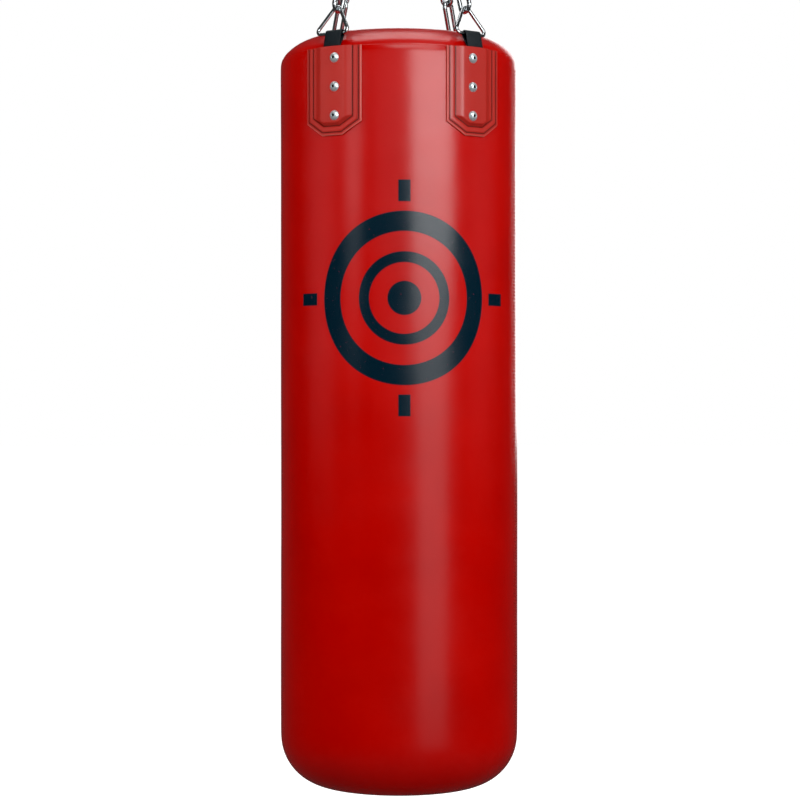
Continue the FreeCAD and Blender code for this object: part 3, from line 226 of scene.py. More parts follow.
BAG_MIDDLE = (SEAM_Z + BAG_BOTTOM) / 2
softbox("key_softbox", 29, 3.2, SEAM_Z + 0.5, 2.4, 1.1, 50.0, SEAM_Z - 0.1)
softbox("low_key_softbox", 29, 3.2, BAG_MIDDLE - 0.1, 1.6, 1.4, 7.0, BAG_MIDDLE)
softbox("left_softbox", -46, 3.2, SEAM_Z + 0.4, 0.8, 0.9, 4.0, SEAM_Z - 0.1)
softbox("top_softbox", 0, -0.6, SEAM_Z + 2.2, 2.2, 1.2, 30.0, SEAM_Z)
softbox("high_softbox", 14, 2.4, SEAM_Z + 2.0, 2.4, 1.4, 34.0, SEAM_Z)
softbox("rear_softbox", 165, 3.2, SEAM_Z + 0.3, 2.0, 1.8, 40.0, BAG_MIDDLE)
softbox("front_fill", -8, 1.8, SEAM_Z + 0.1, 1.2, 0.8, 12.0, SEAM_Z - 0.3, mirrored=False)
softbox("left_fill", -80, 2.0, SEAM_Z + 0.1, 1.2, 1.2, 22.0, SEAM_Z - 0.4, mirrored=False)
softbox("right_fill", 82, 2.0, SEAM_Z + 0.1, 1.2, 1.2, 16.0, SEAM_Z - 0.4, mirrored=False)

# ---------------------------------------------------------------- bag side
# One panel of polyurethane-coated leather, wrapped round the foam and sewn up one side. Its top edge is
# rolled over the top panel's edge, and its lower edge turns under the bag to a flat disc. The front carries
# a screen-printed target.
LAYER_SEGMENTS = 96
SHOULDER_DROP = 0.010
SHOULDER_WIDTH = 0.056
BOTTOM_BEND = 0.068
top_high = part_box("top_panel")[1]
TOP_RISE = top_high.z - SEAM_Z
disc_low, disc_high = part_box("bottom_panel")
DISC_RADIUS = (disc_high.x - disc_low.x) / 2
HALF = math.sqrt(0.5)
SHOULDER_RISE = TOP_RISE + SHOULDER_DROP
BEND_GROWTH = (SHOULDER_WIDTH - SHOULDER_RISE) / (math.sqrt(2) - 1)
SIDE_BEND = SHOULDER_RISE - BEND_GROWTH * (1 - HALF)
TOP_BEND = SIDE_BEND + BEND_GROWTH


def arc_points(centre, radius, first, last, steps):
    """Points along an arc in the (radius, height) plane, angles in degrees, both ends included."""
    points = []
    for step in range(steps + 1):
        turn = math.radians(first + (last - first) * step / steps)
        points.append((centre[0] + radius * math.cos(turn), centre[1] + radius * math.sin(turn)))
    return points


MERGE_DISTANCE = 1e-6


def spun(points, segments, closed=False):
    """Spins a profile of (radius, height) points about Z. A closed profile makes a ring."""
    bm = bmesh.new()
    verts = [bm.verts.new((0, -radius, height)) for radius, height in points]
    ends = verts[1:] + verts[:1] if closed else verts[1:]
    edges = [bm.edges.new(pair) for pair in zip(verts, ends)]
    bmesh.ops.spin(
        bm,
        geom=verts + edges,
        cent=(0, 0, 0),
        axis=(0, 0, 1),
        angle=2 * math.pi,
        steps=segments,
        use_merge=True,
    )
    bmesh.ops.remove_doubles(bm, verts=bm.verts, dist=MERGE_DISTANCE)
    bmesh.ops.recalc_face_normals(bm, faces=bm.faces)
    return bm


def azimuth_of(point):
    """The azimuth of a point, zero at the front and positive towards +X, in radians."""
    return math.atan2(point.x, -point.y)


seam_turn = math.degrees(math.asin(SHOULDER_DROP / SIDE_BEND))
side_profile = [(DISC_RADIUS, BAG_BOTTOM)]
side_profile += arc_points((BAG_RADIUS - BOTTOM_BEND, BAG_BOTTOM + BOTTOM_BEND), BOTTOM_BEND, -90, 0, 9)
straight_low = BAG_BOTTOM + BOTTOM_BEND
straight_high = SEAM_Z - SHOULDER_DROP
STRAIGHT_ROWS = 52
for row in range(1, STRAIGHT_ROWS):
    side_profile.append((BAG_RADIUS, straight_low + (straight_high - straight_low) * row / STRAIGHT_ROWS))
bend_centre = (BAG_RADIUS - SIDE_BEND, straight_high)
side_profile += arc_points(bend_centre, SIDE_BEND, 0, seam_turn, 2)
edge_radius, edge_height = side_profile[-1]
EDGE_TUCK = 0.0016
EDGE_ROLL = ((0.0002, -0.0006), (-0.0003, 0.0003), (-0.0011, 0.0001), (-EDGE_TUCK, -0.0022))
side_profile[-1:] = [(edge_radius + out, edge_height + up) for out, up in EDGE_ROLL]
bm = spun(side_profile, LAYER_SEGMENTS)

CREASE_DEPTH = 0.00022
CREASE_AROUND = 0.7
CREASE_ALONG = 14.0
SWELL_DEPTH = 0.0007
SWELL_AROUND = 1.3
SWELL_ALONG = 3.0
SWELL_SHIFT = 5.0
RELIEF_SINK = 0.0004
TAUT_ABOVE = 0.12
TOP_HEM = 0.006
FOOT_HEM = 0.002
for vert in bm.verts:
    turn = azimuth_of(vert.co)
    height = vert.co.z
    if height > SEAM_Z - TOP_HEM or height < BAG_BOTTOM + FOOT_HEM:
        continue
    fade = min(1.0, (SEAM_Z - height) / TAUT_ABOVE)
    crease = Vector((math.cos(turn) * CREASE_AROUND, math.sin(turn) * CREASE_AROUND, height * CREASE_ALONG))
    swell = Vector(
        (math.cos(turn) * SWELL_AROUND + SWELL_SHIFT, math.sin(turn) * SWELL_AROUND, height * SWELL_ALONG)
    )
    relief = noise.noise(crease) * CREASE_DEPTH + noise.noise(swell) * SWELL_DEPTH
    outward = Vector((vert.co.x, vert.co.y, 0)).normalized()
    vert.co += outward * (relief * fade - RELIEF_SINK * fade)

bag_side = new_piece("bag_side", bm)

CLOTH_FRAMES = 12
CLOTH_PRESSURE = 4.0
CLOTH_STRETCH = 30
CLOTH_SHEAR = 20
CLOTH_BENDING = 8
CLOTH_CAP = 0.0012


def keep_order(shell):
    """Puts a mesh's edges and faces in the order of their points, so that cloth settles alike each time."""
    count = len(shell.verts)

    def place_of(item):
        ranks = sorted(vert.index for vert in item.verts)
        return sum(rank * count**power for power, rank in enumerate(ranks[:3]))

    shell.verts.index_update()
    shell.edges.sort(key=place_of)
    shell.faces.sort(key=place_of)


def inflated(piece, held, cap):
    """Lets a closed copy of a piece swell as cloth under pressure, and moves the piece's points to it."""
    copy = piece.copy()
    copy.data = piece.data.copy()
    scene.collection.objects.link(copy)
    shell = bmesh.new()
    shell.from_mesh(copy.data)
    rims = [edge for edge in shell.edges if edge.is_boundary]
    bmesh.ops.holes_fill(shell, edges=rims, sides=0)
    keep_order(shell)
    shell.to_mesh(copy.data)
    shell.free()
    group = copy.vertex_groups.new(name="held")
    for vert in copy.data.vertices:
        if held(vert.co):
            group.add([vert.index], 1.0, "REPLACE")
    cloth = copy.modifiers.new("cloth", "CLOTH")
    cloth.settings.quality = 4
    cloth.settings.tension_stiffness = CLOTH_STRETCH
    cloth.settings.compression_stiffness = CLOTH_STRETCH
    cloth.settings.shear_stiffness = CLOTH_SHEAR
    cloth.settings.bending_stiffness = CLOTH_BENDING
    cloth.settings.vertex_group_mass = "held"
    cloth.settings.use_pressure = True
    cloth.settings.uniform_pressure_force = CLOTH_PRESSURE
    cloth.settings.effector_weights.gravity = 0.0
    cloth.collision_settings.use_collision = False
    for frame_number in range(1, CLOTH_FRAMES + 1):
        scene.frame_set(frame_number)
    settled = copy.evaluated_get(bpy.context.evaluated_depsgraph_get()).to_mesh()
    for vert, moved in zip(piece.data.vertices, settled.vertices):
        shift = moved.co - vert.co
        if shift.length > cap:
            shift = shift.normalized() * cap
        vert.co += shift
    scene.frame_set(1)
    bpy.data.objects.remove(copy)


HELD_TOP = 0.012
HELD_FOOT = 0.004
PATCH_AZIMUTHS = (35, 145)
PATCH_REACH = 15


def near_seam_or_rivet(point):
    """True on the sewn edges and under the strap patches, where the leather can't swell."""
    if point.z > SEAM_Z - HELD_TOP or point.z < BAG_BOTTOM + HELD_FOOT:
        return True
    if point.z < SEAM_Z - TAUT_ABOVE:
        return False
    turn = abs(math.degrees(azimuth_of(point)))
    return min(abs(turn - azimuth) for azimuth in PATCH_AZIMUTHS) < PATCH_REACH


inflated(bag_side, near_seam_or_rivet, CLOTH_CAP)

smooth_side = bag_side.modifiers.new("smooth", "SUBSURF")
smooth_side.levels = 2
smooth_side.render_levels = 2


def group_tree(name, inputs, outputs):
    """An empty shader node group with named sockets, and its input and output nodes."""
    tree = bpy.data.node_groups.new(name, "ShaderNodeTree")
    for label, kind, default in inputs:
        socket = tree.interface.new_socket(label, in_out="INPUT", socket_type=kind)
        socket.default_value = default
    for label, kind in outputs:
        tree.interface.new_socket(label, in_out="OUTPUT", socket_type=kind)
    return tree, tree.nodes.new("NodeGroupInput"), tree.nodes.new("NodeGroupOutput")


leather_group, leather_in, leather_out = group_tree(
    "coated_leather",
    [("Grain Size", "NodeSocketFloat", 480.0), ("Mottle Size", "NodeSocketFloat", 9.0)],
    [("Mottle", "NodeSocketFloat"), ("Grain", "NodeSocketFloat"), ("Haze", "NodeSocketFloat")],
)
place = object_place(leather_group)
pebble = node(
    leather_group,
    "ShaderNodeTexVoronoi",
    {"Vector": place, "Scale": leather_in.outputs["Grain Size"], "Randomness": 0.9},
    feature="SMOOTH_F1",
)
pebble_height = math_node(leather_group, "MULTIPLY", pebble.outputs["Distance"], 0.8)
fibre = cloudy(leather_group, place, 420.0, 4.0, 0.6)
grain_height = math_node(leather_group, "MULTIPLY_ADD", fibre, 0.55, pebble_height)
squeezed = node(leather_group, "ShaderNodeMapping", {"Vector": place, "Scale": (1.0, 1.0, 3.0)})
mottle = cloudy(leather_group, place, leather_in.outputs["Mottle Size"], 4.0, 0.55)
haze = cloudy(leather_group, squeezed.outputs[0], 7.0, 3.0)
leather_group.links.new(mottle, leather_out.inputs["Mottle"])
leather_group.links.new(grain_height, leather_out.inputs["Grain"])
leather_group.links.new(haze, leather_out.inputs["Haze"])

RED_DEEP = (0.31, 0.0010, 0.0006, 1)
RED_BRIGHT = (0.45, 0.0030, 0.0014, 1)
PRINT_DARK = (0.0016, 0.0105, 0.019, 1)
GLOSS_GAIN = 0.03
GLOSS_LOSS = 0.012


def leather_material(name, deep, bright, roughness, grain_depth):
    """Coated leather: the colour drifts softly, a fine grain bumps it, and a haze varies its gloss."""
    material, tree, shader = new_material(name)
    surface = node(tree, "ShaderNodeGroup", node_tree=leather_group)
    colour = blend(tree, surface.outputs["Mottle"], deep, bright)
    tree.links.new(colour, shader.inputs["Base Color"])
    gloss = ranged(tree, surface.outputs["Haze"], 0.3, 0.7, roughness - GLOSS_GAIN, roughness + GLOSS_LOSS)
    tree.links.new(gloss, shader.inputs["Roughness"])
    bumped(tree, shader, 0.16, grain_depth, surface.outputs["Grain"])
    shader.inputs["Specular IOR Level"].default_value = 0.5
    return material, tree, shader, colour


PRINT_CENTRE_DROP = 0.326
PRINT_OUTER = 0.112
PRINT_BAND = 0.026
PRINT_MIDDLE = 0.060
PRINT_MIDDLE_BAND = 0.014
PRINT_DOT = 0.022
PRINT_TICK_START = 0.124
PRINT_TICK_END = 0.152
PRINT_TICK_WIDTH = 0.016
PRINT_EDGE = 0.0006

side_leather, side_tree, side_shader, side_red = leather_material(
    "bag_leather", RED_DEEP, RED_BRIGHT, 0.26, 0.0003
)


def on_print(operation, first, second=0.0, third=0.0):
    """A Math node's output in the printed leather."""
    return math_node(side_tree, operation, first, second, third)


def inside(value, limit):
    """1 where the value is under the limit and 0 over it, with a crisp soft edge."""
    return ranged(side_tree, value, limit - PRINT_EDGE, limit + PRINT_EDGE, 1.0, 0.0)


def band(value, outer, width):
    """1 on a ring and 0 off it."""
    return on_print("SUBTRACT", inside(value, outer), inside(value, outer - width))


side_place = object_place(side_tree)
split = node(side_tree, "ShaderNodeSeparateXYZ", {0: side_place})
turn_round = on_print("ARCTAN2", split.outputs["X"], on_print("MULTIPLY", split.outputs["Y"], -1.0))
print_x = on_print("MULTIPLY", turn_round, BAG_RADIUS)
print_y = on_print("ADD", split.outputs["Z"], -(SEAM_Z - PRINT_CENTRE_DROP))
print_y_squared = on_print("MULTIPLY", print_y, print_y)
print_radius = on_print("SQRT", on_print("MULTIPLY_ADD", print_x, print_x, print_y_squared))
mask = band(print_radius, PRINT_OUTER, PRINT_BAND)
mask = on_print("MAXIMUM", mask, band(print_radius, PRINT_MIDDLE, PRINT_MIDDLE_BAND))
mask = on_print("MAXIMUM", mask, inside(print_radius, PRINT_DOT))
far_x = on_print("ABSOLUTE", print_x)
far_y = on_print("ABSOLUTE", print_y)
tick_reach = band(on_print("MAXIMUM", far_x, far_y), PRINT_TICK_END, PRINT_TICK_END - PRINT_TICK_START)
tick_width = inside(on_print("MINIMUM", far_x, far_y), PRINT_TICK_WIDTH / 2)
mask = on_print("MAXIMUM", mask, on_print("MULTIPLY", tick_reach, tick_width))
worn = ranged(side_tree, cloudy(side_tree, side_place, 240.0, 5.0, 0.7), 0.28, 0.36, 0.75, 1.0)
printed = blend(side_tree, on_print("MULTIPLY", mask, worn), side_red, PRINT_DARK)
side_tree.links.new(printed, side_shader.inputs["Base Color"])

bag_side.data.materials.append(side_leather)
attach(bag_side, "bag")
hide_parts("side_panel")

# ---------------------------------------------------------------- bag side: sewn closing seam
# The panel's two upright edges are folded in and sewn together at the bag's right side. Only the stitches are
# drawn: a row of lock stitches on each side of the seam.
SIDE_SEAM_AZIMUTH = math.radians(72)
STITCH_LENGTH = 0.0034
STITCH_GAP = 0.0012
THREAD_RADIUS = 0.00042
SEAM_ROW_OFFSET = 0.0032
TWIST_DEPTH = 0.0001


def stitch_mesh(name, length, radius):
    """One stitch: a short thread that dips at both ends, along its own X."""
    bm = bmesh.new()
    bmesh.ops.create_cone(
        bm,
        cap_ends=True,
        segments=6,
        radius1=radius * 0.8,
        radius2=radius * 0.8,
        depth=length,
        matrix=Matrix.Rotation(math.pi / 2, 4, "Y"),
    )
    along = [edge for edge in bm.edges if abs(edge.verts[0].co.x - edge.verts[1].co.x) > length / 2]
    bmesh.ops.subdivide_edges(bm, edges=along, cuts=2)
    for vert in bm.verts:
        if abs(vert.co.x) < length / 4:
            vert.co.y *= 1.3
            vert.co.z = vert.co.z * 1.3 + radius * 0.5
        else:
            vert.co.z -= radius * 0.35
    mesh = bpy.data.meshes.new(name)
    bm.to_mesh(mesh)
    bm.free()
    return mesh


def stamp(bm, mesh, matrix):
    """Adds a moved copy of a mesh to a bmesh."""
    count = len(bm.verts)
    bm.from_mesh(mesh)
    bm.verts.ensure_lookup_table()
    bmesh.ops.transform(bm, matrix=matrix, verts=bm.verts[count:])


def sewn(name, runs, length=STITCH_LENGTH, gap=STITCH_GAP, radius=THREAD_RADIUS):
    """One mesh of stitches laid along runs of (point, outward direction) pairs, lengths in metres."""
    single = stitch_mesh(name + "_single", length, radius)
    bm = bmesh.new()
    for run in runs:
        reach = 0.0
        wanted = (length + gap) / 2
        for (start, start_out), (end, end_out) in zip(run, run[1:]):
            step = end - start
            while wanted <= reach + step.length:
                share = (wanted - reach) / step.length
                out = start_out.lerp(end_out, share).normalized()
                along = step.normalized()
                side = out.cross(along).normalized()
                turn = Matrix((along, side, out)).transposed().to_4x4()
                stamp(bm, single, Matrix.Translation(start + step * share) @ turn)
                wanted += length + gap
            reach += step.length
    bpy.data.meshes.remove(single)
    return new_piece(name, bm)


def on_side(azimuth, height, radius):
    """A point on a cylinder about the bag's axis, and the direction outwards there."""
    out = Vector((math.sin(azimuth), -math.cos(azimuth), 0))
    return out * radius + Vector((0, 0, height)), out


thread_group, _, thread_out = group_tree(
    "twisted_thread", [], [("Shade", "NodeSocketFloat"), ("Twist", "NodeSocketFloat")]
)
thread_place = object_place(thread_group)
twist_wave = node(
    thread_group,
    "ShaderNodeTexWave",
    {"Vector": thread_place, "Scale": 900.0, "Distortion": 1.5, "Detail": 1.0},
    bands_direction="DIAGONAL",
)
thread_group.links.new(cloudy(thread_group, thread_place, 60.0, 2.0), thread_out.inputs["Shade"])
thread_group.links.new(twist_wave.outputs["Fac"], thread_out.inputs["Twist"])


def thread_material(name, dark, light):
    """Twisted sewing thread."""
    material, tree, shader = new_material(name)
    twisted = node(tree, "ShaderNodeGroup", node_tree=thread_group)
    tree.links.new(blend(tree, twisted.outputs["Shade"], dark, light), shader.inputs["Base Color"])
    bumped(tree, shader, 0.4, TWIST_DEPTH, twisted.outputs["Twist"])
    shader.inputs["Roughness"].default_value = 0.7
    return material


red_thread = thread_material("red_thread", (0.16, 0.004, 0.003, 1), (0.26, 0.008, 0.005, 1))
dark_thread = thread_material("dark_thread", (0.035, 0.004, 0.003, 1), (0.075, 0.008, 0.006, 1))


def on_leather(azimuth, height):
    """A point on the side panel's surface, and the direction outwards there."""
    far, out = on_side(azimuth, height, BAG_RADIUS * 1.2)
    return bag_side.ray_cast(far, -out)[1], out


ROW_STEPS = 60
ROW_MARGIN = 0.004
seam_low = straight_low + ROW_MARGIN
seam_high = straight_high - ROW_MARGIN
seam_runs = []
for side in (-1, 1):
    azimuth = SIDE_SEAM_AZIMUTH + side * SEAM_ROW_OFFSET / BAG_RADIUS
    heights = [seam_low + (seam_high - seam_low) * step / ROW_STEPS for step in range(ROW_STEPS + 1)]
    seam_runs.append([on_leather(azimuth, height) for height in heights])
side_stitches = sewn("side_stitches", seam_runs)
side_stitches.data.materials.append(red_thread)
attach(side_stitches, "bag")

# ---------------------------------------------------------------- bag top
# A domed panel of the same leather that covers the filling. Its edge goes down inside the side panel's
# rolled edge, and it has a straight opening over the zip, with the leather folded under along both edges.
DOME_SEGMENTS = 128
DOME_SINK = 0.0006
DOME_START = 1.2
SLOT_MARGIN = 0.002
RIM_BAND = 0.002
SLOT_HALF_WIDTH = 0.0045
SLOT_FOLD = 0.0014
LONG_EDGE = 0.02
slot_low, slot_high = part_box("zip_teeth_front")
slot_half_length = max(-slot_low.x, slot_high.x) + SLOT_MARGIN
top_centre = (BAG_RADIUS - SHOULDER_WIDTH, top_high.z - TOP_BEND)
dome_profile = [(edge_radius - EDGE_TUCK, edge_height - EDGE_TUCK)]
dome_profile += arc_points(bend_centre, SIDE_BEND - DOME_SINK, seam_turn + DOME_START, 45, 7)
dome_profile += arc_points(top_centre, TOP_BEND - DOME_SINK, 45, 90, 9)[1:]
bm = spun(dome_profile, DOME_SEGMENTS)
rim = [edge for edge in bm.edges if edge.is_boundary and edge.verts[0].co.z > top_high.z - RIM_BAND]
END_STEPS = 6
end_bend = SLOT_HALF_WIDTH * 0.6
long_reach = slot_half_length - end_bend
wide_reach = SLOT_HALF_WIDTH - end_bend
outline = []
for quarter, (sx, sy) in enumerate(((1, 1), (-1, 1), (-1, -1), (1, -1))):
    outline += arc_points(
        (sx * long_reach, sy * wide_reach), end_bend, 90 * quarter, 90 * (quarter + 1), END_STEPS
    )
LONG_STEPS = 40
slot_outline = []
for (ax, ay), (bx, by) in zip(outline, outline[1:] + outline[:1]):
    parts = LONG_STEPS if math.dist((ax, ay), (bx, by)) > LONG_EDGE else 1
    slot_outline += [(ax + (bx - ax) * step / parts, ay + (by - ay) * step / parts) for step in range(parts)]
flat_z = top_high.z - DOME_SINK
slot_verts = [bm.verts.new((x, y, flat_z)) for x, y in slot_outline]
slot_edges = [bm.edges.new(pair) for pair in zip(slot_verts, slot_verts[1:] + slot_verts[:1])]
bridged = bmesh.ops.bridge_loops(bm, edges=rim + slot_edges)
bmesh.ops.triangulate(bm, faces=bridged["faces"])
inner = bmesh.ops.extrude_edge_only(bm, edges=slot_edges)
low_verts = [item for item in inner["geom"] if isinstance(item, bmesh.types.BMVert)]
bmesh.ops.translate(bm, verts=low_verts, vec=(0, 0, -SLOT_FOLD))
bmesh.ops.recalc_face_normals(bm, faces=bm.faces)
bag_top = new_piece("bag_top", bm)
fold = bag_top.modifiers.new("fold", "BEVEL")
fold.width = 0.0010
fold.segments = 3
fold.limit_method = "ANGLE"
fold.angle_limit = math.radians(50)
even = bag_top.modifiers.new("even", "WEIGHTED_NORMAL")
even.keep_sharp = True

top_leather = leather_material("top_leather", RED_DEEP, RED_BRIGHT, 0.31, 0.0004)[0]
bag_top.data.materials.append(top_leather)
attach(bag_top, "bag")
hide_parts("top_panel")

ZIP_ROW_OFFSETS = (0.0030, 0.0065)
STITCH_LIFT = 0.0001
zip_runs = []
for offset in ZIP_ROW_OFFSETS:
    grown = 1 + offset / end_bend
    run = []
    for x, y in slot_outline + slot_outline[:1]:
        far_x = min(abs(x), long_reach) + max(abs(x) - long_reach, 0.0) * grown
        far_y = min(abs(y), wide_reach) + max(abs(y) - wide_reach, 0.0) * grown
        place = Vector((math.copysign(far_x, x), math.copysign(far_y, y), flat_z + STITCH_LIFT))
        run.append((place, Vector((0, 0, 1))))
    zip_runs.append(run)
zip_stitches = sewn("zip_stitches", zip_runs)
zip_stitches.data.materials.append(red_thread)
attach(zip_stitches, "bag")

# ---------------------------------------------------------------- bag underside
# A round leather disc closes the bottom, sewn to the side panel's turned-in edge over a raised piping.
PIPING_RADIUS = 0.0018
DISC_RISE = 0.0012
DISC_SAG = 0.0006
disc_profile = [(0.0, BAG_BOTTOM + DISC_RISE)]
DISC_RINGS = 14
for ring in range(1, DISC_RINGS + 1):
    share = ring / DISC_RINGS
    disc_profile.append((DISC_RADIUS * share, BAG_BOTTOM + DISC_RISE - DISC_SAG * math.sin(math.pi * share)))
bm = spun(disc_profile, LAYER_SEGMENTS)
bag_base = new_piece("bag_base", bm)
bag_base.data.materials.append(top_leather)
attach(bag_base, "bag")
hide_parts("bottom_panel")
piping_profile = arc_points((DISC_RADIUS, BAG_BOTTOM + PIPING_RADIUS * 0.6), PIPING_RADIUS, 0, 360, 12)[:-1]
base_piping = new_piece("base_piping", spun(piping_profile, LAYER_SEGMENTS, closed=True))
base_piping.data.materials.append(top_leather)
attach(base_piping, "bag")

# ---------------------------------------------------------------- strap patches
# Four leather patches hold the webbing to the bag. Each has a flat border with cut lower corners, sewn down
# with two rows of dark thread in shallow grooves, and a raised middle over the doubled strap. It is open at
# the top, where the strap comes out.
LEGS = ("front_left", "front_right", "rear_left", "rear_right")
PATCH_SPACING = 0.0009
PATCH_SHEET = 0.0016
PATCH_BORDER = 0.0022
PATCH_RAISED = 0.0054
RAISED_SHIFT = 0.0030
PATCH_LIFT = 0.0002
PATCH_CUT_ACROSS = 0.027
PATCH_CUT_UP = 0.017
ROW_INSETS = (0.0042, 0.0122)
SLOPE_START = 0.0130
SIDE_SLOPE_END = 0.0260
FOOT_SLOPE_END = 0.0170
GROOVE_DEPTH = 0.00045
GROOVE_HALF_WIDTH = 0.0009
EDGE_ROUND = 0.0016
MIDDLE_BULGE = 0.0006
ROW_TOP = 0.0015


def node_span(name):
    """A CAD node's lowest and highest azimuth and height about the bag's axis."""
    turns = []
    heights = []
    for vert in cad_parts[name].data.vertices:
        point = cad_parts[name].matrix_world @ vert.co
        turns.append(azimuth_of(point))
        heights.append(point.z)
    return min(turns), max(turns), min(heights), max(heights)


def held_share(share):
    """A share held between 0 and 1."""
    return min(1.0, max(0.0, share))


def smooth_step(share):
    """Eases from 0 to 1."""
    share = held_share(share)
    return share * share * (3 - 2 * share)


def groove_at(inset):
    """How deep a point lies in the sewn grooves, from 0 to 1."""
    return sum(math.exp(-(((inset - row) / GROOVE_HALF_WIDTH) ** 2)) for row in ROW_INSETS)


class PatchShape:
    """A patch's outline, sides and cut corners, as distances in (across, down) metres."""

    def __init__(self, width, height, shift):
        self.half = width / 2
        self.shift = shift
        self.height = height
        cut = Vector((PATCH_CUT_UP, PATCH_CUT_ACROSS)).normalized()
        self.cut_across = cut.x
        self.cut_down = cut.y
        self.cut_reach = cut.x * (self.half - PATCH_CUT_ACROSS) + cut.y * self.height

    def insets(self, across, down):
        """How far inside the sides, foot and cut corners a point lies. The top edge doesn't count."""
        side = self.half - abs(across)
        foot = self.height - down
        corner = self.cut_reach - self.cut_across * abs(across) - self.cut_down * down
        return side, foot, corner

    def outline(self, inset, steps=24):
        """Points down one side, across the foot and up the other, at an inset."""
        half = self.half - inset
        foot = self.height - inset
        reach = self.cut_reach - inset
        turn_down = (reach - self.cut_across * half) / self.cut_down
        turn_across = (reach - self.cut_down * foot) / self.cut_across
        corners = [
            (-half, ROW_TOP),
            (-half, turn_down),
            (-turn_across, foot),
            (turn_across, foot),
            (half, turn_down),
            (half, ROW_TOP),
        ]
        points = []
        for (ax, ay), (bx, by) in zip(corners, corners[1:]):
            for step in range(steps):
                points.append((ax + (bx - ax) * step / steps, ay + (by - ay) * step / steps))
        return points + [corners[-1]]

    def level(self, across, down):
        """The outer surface's height over the bag."""
        side, foot, corner = self.insets(across, down)
        inset = min(side, foot, corner)
        side = self.half - abs(across - self.shift * smooth_step(side / self.half * 2))
        side_share = (side - SLOPE_START) / (SIDE_SLOPE_END - SLOPE_START)
        foot_share = (min(foot, corner) - SLOPE_START) / (FOOT_SLOPE_END - SLOPE_START)
        rise = smooth_step(min(side_share, foot_share))
        level = PATCH_BORDER + (PATCH_RAISED - PATCH_BORDER) * rise
        if inset < EDGE_ROUND:
            level -= (1 - math.sqrt(max(0.0, 1 - (1 - inset / EDGE_ROUND) ** 2))) * PATCH_SHEET * 0.75
        level -= GROOVE_DEPTH * groove_at(inset)
        pillow = math.sin(math.pi * held_share((inset - ROW_INSETS[0]) / (ROW_INSETS[1] - ROW_INSETS[0])))
        return level + MIDDLE_BULGE * (rise * (1 - (across / self.half) ** 2) + 0.6 * pillow)


patch_leather, patch_tree, patch_shader, patch_red = leather_material(
    "patch_leather", (0.27, 0.010, 0.007, 1), (0.42, 0.024, 0.017, 1), 0.32, 0.0004
)
# Painted highlight, partly a lighter edge coat: a pale pink painted along the patch's bevelled outer edge.
EDGE_COAT_AND_HIGHLIGHT_RED = (0.56, 0.13, 0.11, 1)
# Painted shade: a near-black red painted into the sewn stitch grooves.
PAINTED_GROOVE_SHADE = (0.045, 0.004, 0.003, 1)
patch_inset = node(patch_tree, "ShaderNodeAttribute", attribute_name="inset").outputs["Fac"]
# Mask for the painted edge highlight and edge coat, strongest within the outer 0.6 mm.
lit_rim_mask = ranged(patch_tree, patch_inset, 0.0006, 0.0019, 0.75, 0.0)
groove_shade_mask = node(patch_tree, "ShaderNodeAttribute", attribute_name="groove").outputs["Fac"]
# How strongly the painted groove shade darkens each point.
patch_shade = math_node(patch_tree, "MULTIPLY", groove_shade_mask, 0.8)
patch_coat_and_highlight = blend(patch_tree, lit_rim_mask, patch_red, EDGE_COAT_AND_HIGHLIGHT_RED)
patch_colour = blend(patch_tree, patch_shade, patch_coat_and_highlight, PAINTED_GROOVE_SHADE)
patch_tree.links.new(patch_colour, patch_shader.inputs["Base Color"])
patch_shapes = {}
for leg in LEGS:
    low_turn, high_turn, low_height, high_height = node_span("strap_patch_" + leg)
    middle_turn = (low_turn + high_turn) / 2
    width = BAG_RADIUS * (high_turn - low_turn)
    forward = -math.copysign(RAISED_SHIFT, math.sin(2 * middle_turn))
    shape = PatchShape(width, high_height - low_height, forward)
    patch_shapes[leg] = (shape, middle_turn, high_height)
    columns = round(2 * shape.half / PATCH_SPACING)
    rows = round(shape.height / PATCH_SPACING)
    bm = bmesh.new()
    bmesh.ops.create_grid(bm, x_segments=columns, y_segments=rows, size=1.0)
    for vert in bm.verts:
        vert.co = Vector((vert.co.x * shape.half, (vert.co.y + 1) / 2 * shape.height, 0))
    for side in (-1, 1):
        for inset in (EDGE_ROUND, EDGE_ROUND * 0.4, 0.0):
            corner = Vector((side * shape.half, shape.height - PATCH_CUT_UP, 0))
            across = Vector((side * shape.cut_across, shape.cut_down, 0))
            bmesh.ops.bisect_plane(
                bm,
                geom=bm.verts[:] + bm.edges[:] + bm.faces[:],
                plane_co=corner - across * inset,
                plane_no=across,
                clear_outer=inset == 0.0,
            )
    inset_layer = bm.verts.layers.float.new("inset")
    groove_layer = bm.verts.layers.float.new("groove")
    for vert in bm.verts:
        level = shape.level(vert.co.x, vert.co.y)
        inset = min(shape.insets(vert.co.x, vert.co.y))
        vert[inset_layer] = inset
        vert[groove_layer] = groove_at(inset)
        turn = middle_turn + vert.co.x / BAG_RADIUS
        vert.co = on_side(turn, high_height - vert.co.y, BAG_RADIUS + PATCH_LIFT + level)[0]
    bmesh.ops.recalc_face_normals(bm, faces=bm.faces)
    facing = sum((face.normal.dot(face.calc_center_median().xy.to_3d()) for face in bm.faces))
    if facing < 0:
        bmesh.ops.reverse_faces(bm, faces=bm.faces)
    bmesh.ops.solidify(bm, geom=bm.faces[:], thickness=PATCH_SHEET)
    bmesh.ops.recalc_face_normals(bm, faces=bm.faces)
    patch = new_piece("patch_" + leg, bm)
    patch.data.materials.append(patch_leather)
    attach(patch, "bag")
    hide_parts("strap_patch_" + leg)

    runs = []
    for row in ROW_INSETS:
        run = []
        for across, down in shape.outline(row):
            radius = BAG_RADIUS + shape.level(across, down) + PATCH_LIFT + STITCH_LIFT
            run.append(on_side(middle_turn + across / BAG_RADIUS, high_height - down, radius))
        runs.append(run)
    stitches = sewn("patch_stitches_" + leg, runs, length=0.0028, gap=0.0008, radius=0.00045)
    stitches.data.materials.append(dark_thread)
    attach(stitches, "bag")

